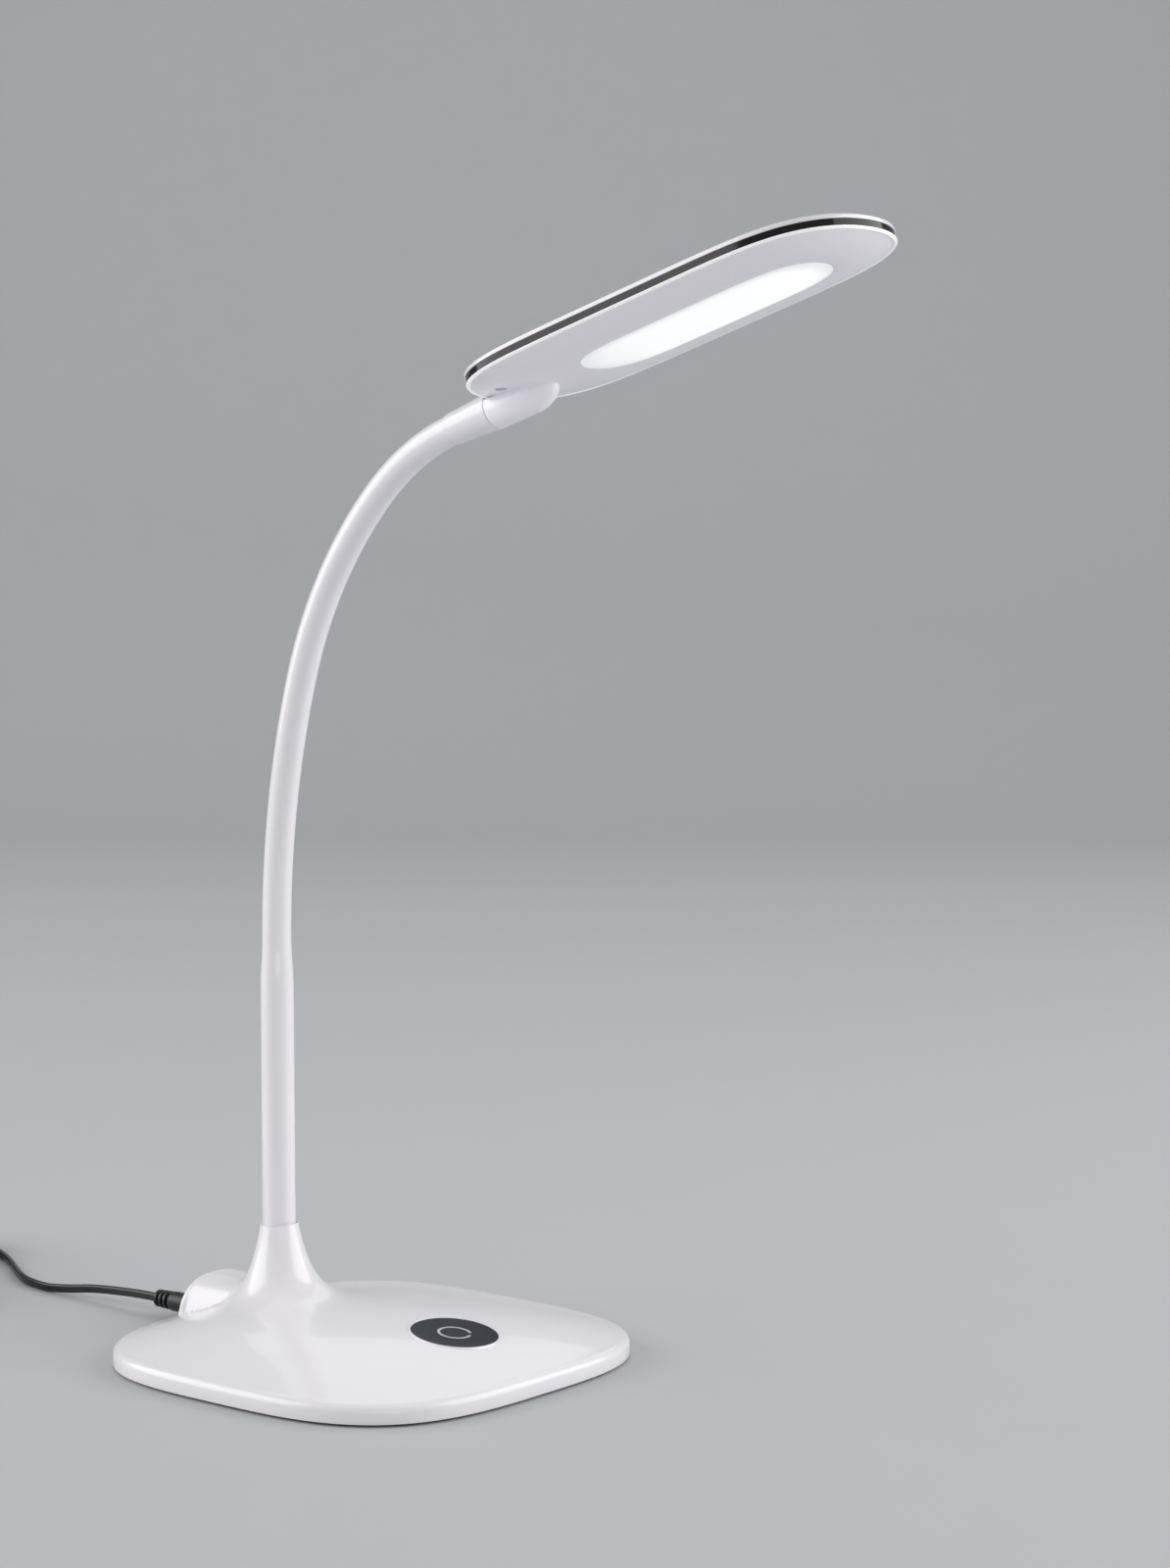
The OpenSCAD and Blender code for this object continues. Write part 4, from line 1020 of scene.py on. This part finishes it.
def housing_solid(radius):
    """Half-round swivel housing with a sloping nose, cut level below the rim"""
    straight, total, top, steep = 19 * MM, 31 * MM, 3.1 * MM, 1.75
    profile = [(0.0, radius - 0.3 * MM), (0.08 * MM, radius - 0.08 * MM), (0.3 * MM, radius)]
    profile += [(u, radius) for u in np.linspace(2 * MM, straight - 1.2 * MM, 6)]
    for t in np.linspace(0, 1, 18):
        profile.append((straight - 0.6 * MM + (total - straight) * t,
                        radius * math.sqrt(max(0.0, 1 - t ** steep)) * (1 - 0.04 * t) + 0.02 * MM))
    turns = np.linspace(0, 2 * math.pi, 96, endpoint=False)
    rings = [[(u, r * math.cos(t), min(top, r * math.sin(t))) for t in turns] for u, r in profile]
    return ring_solid("swivel_housing", rings, flip=True, smooth_angle=40.0)


def trim_strip(head):
    """The black band, with its edges just broken"""
    inset, width, chamfer = 0.35 * MM, 2.6 * MM, 0.1 * MM
    low, high = head.s.rim_rise, head.s.rim_rise + head.s.trim_h
    band = [(inset + width, low), (inset + chamfer, low), (inset, low + chamfer), (inset, high - chamfer),
            (inset + chamfer, high), (inset + width, high)]
    return ring_solid("trim_strip", [lift(head.outline(i), z) for i, z in band], wrap=True)


def upper_shell(head):
    """The top shell: an upright edge, a rounding and a shallow dome"""
    low, chamfer, lap, flat = head.s.rim_rise + head.s.trim_h, 0.12 * MM, 2.2 * MM, 2.2
    edge, top = head.s.edge_round, low + head.s.edge_h
    rings = [lift(head.outline(lap), low), lift(head.outline(chamfer), low),
             lift(head.outline(), low + chamfer), lift(head.outline(), top)]
    for angle in np.radians(np.linspace(15, 90, 6)):
        rings.append(lift(head.outline(edge * (1 - math.cos(angle))), top + edge * math.sin(angle)))
    rim, centre = head.outline(edge), np.array([head.centre, 0.0])
    for share in np.linspace(0.98, 0.04, 30):
        rings.append(lift(centre + (rim - centre) * share, top + edge + head.s.crown * (1 - share ** flat)))
    return ring_solid("upper_shell", rings)


class LAMP_OT_head_shells(bpy.types.Operator):
    """Lower shell with its swivel housing, black trim band and domed top shell"""

    bl_idname = "lamp.head_shells"
    bl_label = "Head shells"

    def execute(self, context):
        sizes = context.scene.lamp_head
        head, seat = Head(sizes), head_place(sizes.roll)
        shell = place(carved_shell(head), seat)
        dress(shell, "head", "white_satin", "head_shell", finish="shell")
        housing = place(housing_solid(context.scene.lamp_neck.housing_r), seat)
        dress(housing, "head", "white_satin")
        dress(place(trim_strip(head), seat), "head", "black_trim", "trim_band")
        dress(place(upper_shell(head), seat), "head", "white_gloss", "top_shell")
        return {"FINISHED"}


class LAMP_OT_light_window(bpy.types.Operator):
    """Rounded frosted window in the head's underside"""

    bl_idname = "lamp.light_window"
    bl_label = "Light window"

    def execute(self, context):
        sizes = context.scene.lamp_head
        head = Head(sizes)
        gap, deep, proud, bulge = 0.12 * MM, 1.6 * MM, 0.05 * MM, 2.4
        face, centre = head.window(gap), np.array([head.window_u, 0.0])
        shares = np.concatenate([np.linspace(1, 0.9, 8), np.linspace(0.86, 0.05, 22)])
        rings = [lift(face, head.low + deep)]
        for share in shares:
            rings.append(lift(centre + (face - centre) * share,
                              head.low - sizes.window_crown * (1 - share ** bulge) + proud))
        obj = place(ring_solid("window_face", rings, flip=True), head_place(sizes.roll))
        caps = [1.0, 0.0]
        mark_painted_light_edge(obj, np.concatenate([np.repeat(np.append(1.0, shares), len(face)), caps]))
        dress(obj, "head", "light_window", "diffuser")
        return {"FINISHED"}


# ---------------------------------------------------------------- the cord


# Points of the free run, as in the part's source, from the plug to the coil.
CORD_POINTS = [
    (-0.127, 0.0, 0.0065), (-0.134, 0.0001, 0.0062), (-0.142, 0.0002, 0.0057), (-0.150, 0.0002, 0.0051),
    (-0.158, 0.0, 0.0043), (-0.166, -0.0008, 0.0032), (-0.174, -0.0019, 0.0024), (-0.184, -0.0019, 0.0016),
    (-0.195, 0.0005, 0.0013), (-0.204, 0.0048, 0.0013), (-0.214, 0.011, 0.0013), (-0.224, 0.0177, 0.0013),
    (-0.234, 0.0242, 0.0013), (-0.243, 0.0294, 0.0013), (-0.251, 0.0328, 0.0013), (-0.258, 0.0345, 0.0013),
]
COIL_CENTRE = (-0.270, 0.010)
COIL_MIDDLE = 0.020
COIL_FROM, COIL_TO, COIL_TURNS, COIL_LAYERS = 80.0, 225.0, 10, 4
COIL_PITCH, COIL_RISE, COIL_TAIL = 0.00404, 0.00305, 0.008
RELIEF_LEN, CORD_TAIL, STRAIGHT = 0.021, 0.036, 0.0036
CORD_REST = 0.0013


def coil_line(step=7.5):
    """Points of the wound coil: each layer winds in or out, and climbs as it turns back"""
    whole = 360.0 * COIL_TURNS + COIL_TO - COIL_FROM
    layer = whole / COIL_LAYERS
    swing = COIL_PITCH * layer / 360
    points = []
    for angle in np.linspace(0, whole, int(whole / step)):
        number = min(COIL_LAYERS - 1, int(angle // layer))
        share = angle / layer - number
        radius = COIL_MIDDLE + swing * ((0.5 - share) if number % 2 == 0 else (share - 0.5))
        climbs = np.clip((angle - layer * np.arange(1, COIL_LAYERS) + 90) / 180, 0, 1)
        height = CORD_REST + COIL_RISE * float(ease(climbs).sum())
        turn = math.radians(COIL_FROM + angle)
        points.append((COIL_CENTRE[0] + radius * math.cos(turn),
                       COIL_CENTRE[1] + radius * math.sin(turn), height))
    last, turn = points[-1], math.radians(COIL_TO)
    way = (-math.sin(turn), math.cos(turn), 0.0)
    return points + [tuple(last[i] + way[i] * d for i in range(3)) for d in (STRAIGHT, COIL_TAIL)]


def smooth_line(points, parts):
    """A curve through the points, with each stretch cut into equal parts"""
    p = [np.array(point, float) for point in points]
    line = []
    for i in range(len(p) - 1):
        a, b, c, d = p[max(0, i - 1)], p[i], p[i + 1], p[min(len(p) - 1, i + 2)]
        for s in np.arange(parts) / parts:
            line.append(0.5 * (2 * b + (c - a) * s + (2 * a - 5 * b + 4 * c - d) * s ** 2
                               + (3 * b - a - 3 * c + d) * s ** 3))
    return line + [p[-1]]


def plug_end():
    """The point where the cord leaves the plug's relief"""
    low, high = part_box("dc_plug")
    return np.array([low[0], 0.0, (low[2] + high[2]) / 2])


def cord_line():
    """The free cord from the plug to the coil's end, and the same with the stretch in the adapter"""
    start, coil, turn = plug_end(), coil_line(), math.radians(COIL_FROM)
    before = np.array(coil[0]) - np.array([-math.sin(turn), math.cos(turn), 0]) * STRAIGHT
    run = smooth_line([start, start + (-STRAIGHT, 0, 0)] + CORD_POINTS + [before, coil[0]], 5)
    line = run + [np.array(point) for point in coil[1:]]
    way = (line[-1] - line[-2]) / np.linalg.norm(line[-1] - line[-2])
    return np.array(line), np.array(line + [line[-1] + way * d for d in (RELIEF_LEN, RELIEF_LEN + CORD_TAIL)])


class LAMP_OT_cord(bpy.types.Operator):
    """Twin cord from the plug over the table to its coil, with the plug and the wall adapter"""

    bl_idname = "lamp.cord"
    bl_label = "Cord, plug and adapter"

    def execute(self, context):
        sizes = context.scene.lamp_cord
        plug = self.plug(sizes)
        ribs = self.ribs(sizes)
        adapter = self.adapter(sizes)
        tie = self.tie(sizes)
        _, line = cord_line()
        groove, off_table = 0.1 * MM, 0.12 * MM
        core = sizes.height / 2 - groove
        spread = sizes.width / 2 - core
        lengths = np.concatenate([[0.0], np.cumsum(np.linalg.norm(np.diff(line, axis=0), axis=1))])
        share = np.clip((sizes.flat_by - lengths) / (sizes.flat_by - sizes.flat_from), 0, 1)
        least = core + off_table + spread * math.sin(sizes.first_turn) * share
        line[:, 2] = np.maximum(line[:, 2], least)
        tree = twin_cord_tree(MATERIALS["cord"])
        obj = tree.grow(curve_object("cord_twin", line), core_radius=core, core_spread=spread,
                        first_turn=sizes.first_turn, flat_from=sizes.flat_from, flat_by=sizes.flat_by)
        dress(obj, "base", "cord", "cord_run", "cord_coil")
        return {"FINISHED"}

    def plug(self, sizes):
        """The plug's grip and the core of its relief, turned about the socket's axis"""
        low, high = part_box("dc_plug")
        r, full, half = sizes.plug_r, sizes.plug_len, sizes.width / 2
        profile = [(0.0, 2.85 * MM), (0.0, r - 0.3 * MM), (0.1 * MM, r - 0.1 * MM), (0.35 * MM, r)]
        profile += [(full - 1.2 * MM, r), (full - 0.5 * MM, r - 0.12 * MM), (full - 0.1 * MM, r - 0.45 * MM)]
        tip = full + sizes.rib_count * sizes.rib_pitch
        profile += [(full, half + 1.0 * MM), (tip - 0.3 * MM, half + 0.7 * MM), (tip, half + 0.4 * MM)]
        obj = lathe("plug_body", profile, (high[0], 0, (low[2] + high[2]) / 2), (-1, 0, 0), sides=72)
        return dress(obj, "base", "plug_grip", "dc_plug")

    def ribs(self, sizes):
        """The relief's ribs, which stand off the grip by one gap"""
        low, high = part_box("dc_plug")
        gap, inset, bevel = 1.1 * MM, 0.25 * MM, 0.3 * MM
        thick = sizes.rib_pitch - gap
        obj = ribs_tree(MATERIALS["plug"]).grow(
            shown("plug_ribs", [(0, 0, 0)], []), count=sizes.rib_count, pitch=sizes.rib_pitch,
            radius=sizes.plug_r - inset, thickness=thick)
        modifier = obj.modifiers.new("Edges", "BEVEL")
        modifier.width = bevel
        modifier.segments = 3
        settle(obj, 50.0)
        first = high[0] - sizes.plug_len - gap - thick / 2
        place(obj, Matrix.Translation((first, 0, (low[2] + high[2]) / 2)) @ ALONG_X.inverted())
        return dress(obj, "base", "plug_grip")

    def tie(self, sizes):
        """Flat strap round the coil's bundle"""
        half_h, slack, thick, wide = 6.1 * MM, 0.4 * MM, 0.5 * MM, 7 * MM
        corner, chamfer, past_end = 2.2 * MM, 0.12 * MM, 150
        half_w = COIL_PITCH * COIL_TURNS / COIL_LAYERS / 2 + sizes.width / 2 + slack

        def loop(out):
            points = []
            for quarter, (sx, sz) in enumerate(((1, 1), (-1, 1), (-1, -1), (1, -1))):
                centre = (sx * (half_w - corner), sz * (half_h - corner))
                points += rounded(corner + out, centre, 90 * quarter, 90 * quarter + 90, 8)
            return points

        rings = []
        for (near, low), (far, high) in zip(loop(0.0), loop(thick)):
            near, far = COIL_MIDDLE + near, COIL_MIDDLE + far
            inner, outer = wide / 2 - chamfer, wide / 2 - chamfer / 2
            rings.append([(near, -inner, low), (near, inner, low), (far, outer, high), (far, -outer, high)])
        turn = Matrix.Rotation(math.radians(COIL_TO + past_end), 4, "Z")
        seat = Matrix.Translation((*COIL_CENTRE, half_h + thick)) @ turn
        strap = place(ring_solid("coil_tie", rings, wrap=True), seat)
        return dress(strap, "base", "plug_grip")

    def adapter(self, sizes):
        """Wall adapter of two halves with its relief and blades, laid along the cord's last stretch"""
        line, _ = cord_line()
        tip, way = line[-1], line[-1] - line[-2]
        seat = Matrix.Translation((tip[0], tip[1], 0)) @ Matrix.Rotation(math.atan2(way[1], way[0]), 4, "Z")
        (long, wide, tall), split, seam, start = (72 * MM, 42 * MM, 28 * MM), 5.8 * MM, 0.05 * MM, RELIEF_LEN
        middle, lid_h = start + long / 2, tall - split - seam
        case = box_solid("adapter_lower", (long, wide, split), 1.6 * MM)
        place(case, seat @ Matrix.Translation((middle, 0, split / 2)))
        dress(case, "base", "black_plastic", "adapter_case", finish="adapter")
        lid = box_solid("adapter_upper", (long, wide, lid_h), 2.4 * MM)
        place(lid, seat @ Matrix.Translation((middle, 0, tall - lid_h / 2)))
        dress(lid, "base", "black_plastic", "adapter_lid", finish="adapter")

        half, growth, swell, waves = sizes.width / 2, 1.8 * MM, 0.35 * MM, 4
        taper = [(0.0, half + 0.4 * MM), (0.6 * MM, half + 0.6 * MM)]
        for share in np.linspace(0.06, 0.94, 12):
            wave = swell * math.sin(share * waves * 2 * math.pi)
            taper.append((share * start, half + 0.6 * MM + growth * share + wave))
        taper += [(start + 0.4 * MM, half + 0.6 * MM + growth)]
        relief = lathe("adapter_relief", taper, (0, 0, 0), (1, 0, 0), sides=48)
        place(relief, seat @ Matrix.Translation((0, 0, tip[2])))
        dress(relief, "base", "plug_grip")

        blade_size, apart, out, below = (18 * MM, 1.5 * MM, 6.3 * MM), 12.7 * MM, 8 * MM, 6.85 * MM
        blades = [box_solid("adapter_blade", blade_size, 0.3 * MM, 2) for _ in range(2)]
        for side, blade in zip((-1, 1), blades):
            place(blade, seat @ Matrix.Translation((start + long + out, side * apart / 2, tall - below)))
        with bpy.context.temp_override(active_object=blades[0], selected_objects=blades,
                                       selected_editable_objects=blades):
            bpy.ops.object.join()
        dress(blades[0], "base", "nickel", "adapter_pins")
        return case, lid, relief, blades[0]


# ---------------------------------------------------------------- what the frame keeps, and the stage


class LAMP_OT_frame_finishes(bpy.types.Operator):
    """Makes the finishes and gives every node of the frame its own"""

    bl_idname = "lamp.frame_finishes"
    bl_label = "Frame finishes"

    def execute(self, context):
        make_materials(context.scene.lamp_colours)
        slots = {part["node"]: part["material_slot"] for part in frame["record"]["subparts"]}
        for name, node in frame["nodes"].items():
            paint(node, SLOT_FINISH[slots[name]])
        return {"FINISHED"}


class LampStage(bpy.types.PropertyGroup):
    """The camera's place and the lights"""

    camera_x: place_prop("Camera X", "Camera's place along X", 1.0062)
    camera_y: place_prop("Camera Y", "Camera's place along Y", -1.1037)
    camera_z: place_prop("Camera Z", "Camera's height", 0.3815)
    pitch: angle_prop("Camera pitch", "Camera's turn down from the level", 6.023)
    heading: angle_prop("Camera heading", "Camera's turn about the vertical", 39.2)
    lens: number_prop("Lens", "Focal length in millimetres", 90.25, 10.0, 300.0)
    world: number_prop("World", "Strength of the surrounding light", 0.46, 0.0, 5.0)


def area_light(name, where, at, size, watts):
    """A rectangular light that faces a point"""
    data = bpy.data.lights.new(name, "AREA")
    data.shape, data.size, data.size_y, data.energy = "RECTANGLE", size[0], size[1], watts
    obj = bpy.data.objects.new(name, data)
    bpy.context.collection.objects.link(obj)
    obj.location = where
    obj.rotation_euler = (Vector(at) - Vector(where)).to_track_quat("-Z", "Y").to_euler()
    return obj


# Each softbox's name, place to the camera's right, behind the lamp and above the floor, size and power.
SOFTBOXES = [
    ("softbox_left", (-1.75, 0.0, 0.85), (2.0, 1.5), 27),
    ("softbox_right", (1.7, 0.0, 0.85), (1.9, 1.5), 25),
    ("softbox_top", (0.0, -0.3, 1.9), (1.6, 1.6), 0.5),
    ("softbox_back", (0.35, 1.5, 1.2), (1.6, 0.8), 3),
    ("fill_low", (0.3, -1.8, 0.2), (1.4, 0.3), 3.5),
]


class LAMP_OT_stage(bpy.types.Operator):
    """Pale floor that curves up into a backdrop, soft lights and the camera"""

    bl_idname = "lamp.stage"
    bl_label = "Stage"

    def execute(self, context):
        settings = context.scene.lamp_stage
        context.scene.view_settings.view_transform = "Standard"
        self.floor(settings)
        self.world(settings)
        for name, spot, size, watts in SOFTBOXES:
            where = Matrix.Rotation(settings.heading, 3, "Z") @ Vector(spot)
            area_light(name, where, (0, 0, 0.2), size, watts)
        camera = bpy.data.cameras.new("camera")
        camera.lens, camera.sensor_width = settings.lens, 36.0
        obj = bpy.data.objects.new("camera", camera)
        context.collection.objects.link(obj)
        obj.location = (settings.camera_x, settings.camera_y, settings.camera_z)
        obj.rotation_euler = (math.pi / 2 - settings.pitch, 0.0, settings.heading)
        context.scene.camera = obj
        return {"FINISHED"}

    def floor(self, settings):
        radius, near, far, height, half_width = 0.9, -4.0, 1.7, 4.0, 6.0
        profile = [(near, 0.0), (far, 0.0)]
        for t in np.linspace(0.1, math.pi / 2, 14):
            profile.append((far + radius * math.sin(t), radius * (1 - math.cos(t))))
        profile += [(far + radius, height)]
        turn = Matrix.Rotation(settings.heading, 3, "Z")
        vertices = [turn @ Vector((side * half_width, y, z)) for y, z in profile for side in (-1, 1)]
        faces = [(2 * i, 2 * i + 1, 2 * i + 3, 2 * i + 2) for i in range(len(profile) - 1)]
        floor = shown("floor", vertices, faces)
        paint(floor, "floor")

    def world(self, settings):
        world = bpy.data.worlds.new("studio")
        bpy.context.scene.world = world
        world.use_nodes = True
        m = Maker(world.node_tree)
        world.node_tree.nodes.clear()
        light = m.node("ShaderNodeBackground", {}, {"Color": (1, 1, 1, 1), "Strength": settings.world})
        m.add("ShaderNodeOutputWorld", {}, {"Surface": light})


class LAMP_PT_panel(bpy.types.Panel):
    """Lists the lamp's pieces in the sidebar"""

    bl_idname = "LAMP_PT_panel"
    bl_label = "Desk lamp"
    bl_space_type = "VIEW_3D"
    bl_region_type = "UI"
    bl_category = "Lamp"

    def draw(self, context):
        for operator in OPERATORS:
            self.layout.operator(operator.bl_idname)
        for name in GROUPS:
            group = getattr(context.scene, name)
            column = self.layout.column(align=True)
            for key in group.__annotations__:
                column.prop(group, key)


OPERATORS = [LAMP_OT_frame_finishes, LAMP_OT_stage, LAMP_OT_cord, LAMP_OT_base_cover, LAMP_OT_touch_control,
             LAMP_OT_neck, LAMP_OT_ferrule, LAMP_OT_head_shells, LAMP_OT_light_window]
GROUPS = {"lamp_base": LampBase, "lamp_neck": LampNeck, "lamp_head": LampHead, "lamp_cord": LampCord,
          "lamp_colours": LampColours, "lamp_stage": LampStage}


def register():
    for item in list(GROUPS.values()) + OPERATORS + [LAMP_PT_panel]:
        bpy.utils.register_class(item)
    for name, group in GROUPS.items():
        setattr(bpy.types.Scene, name, bpy.props.PointerProperty(type=group))


def unregister():
    for name in GROUPS:
        delattr(bpy.types.Scene, name)
    for item in reversed(list(GROUPS.values()) + OPERATORS + [LAMP_PT_panel]):
        bpy.utils.unregister_class(item)


def main():
    register()
    for operator in OPERATORS:
        group, name = operator.bl_idname.split(".")
        getattr(getattr(bpy.ops, group), name)()


if __name__ == "__main__":
    main()
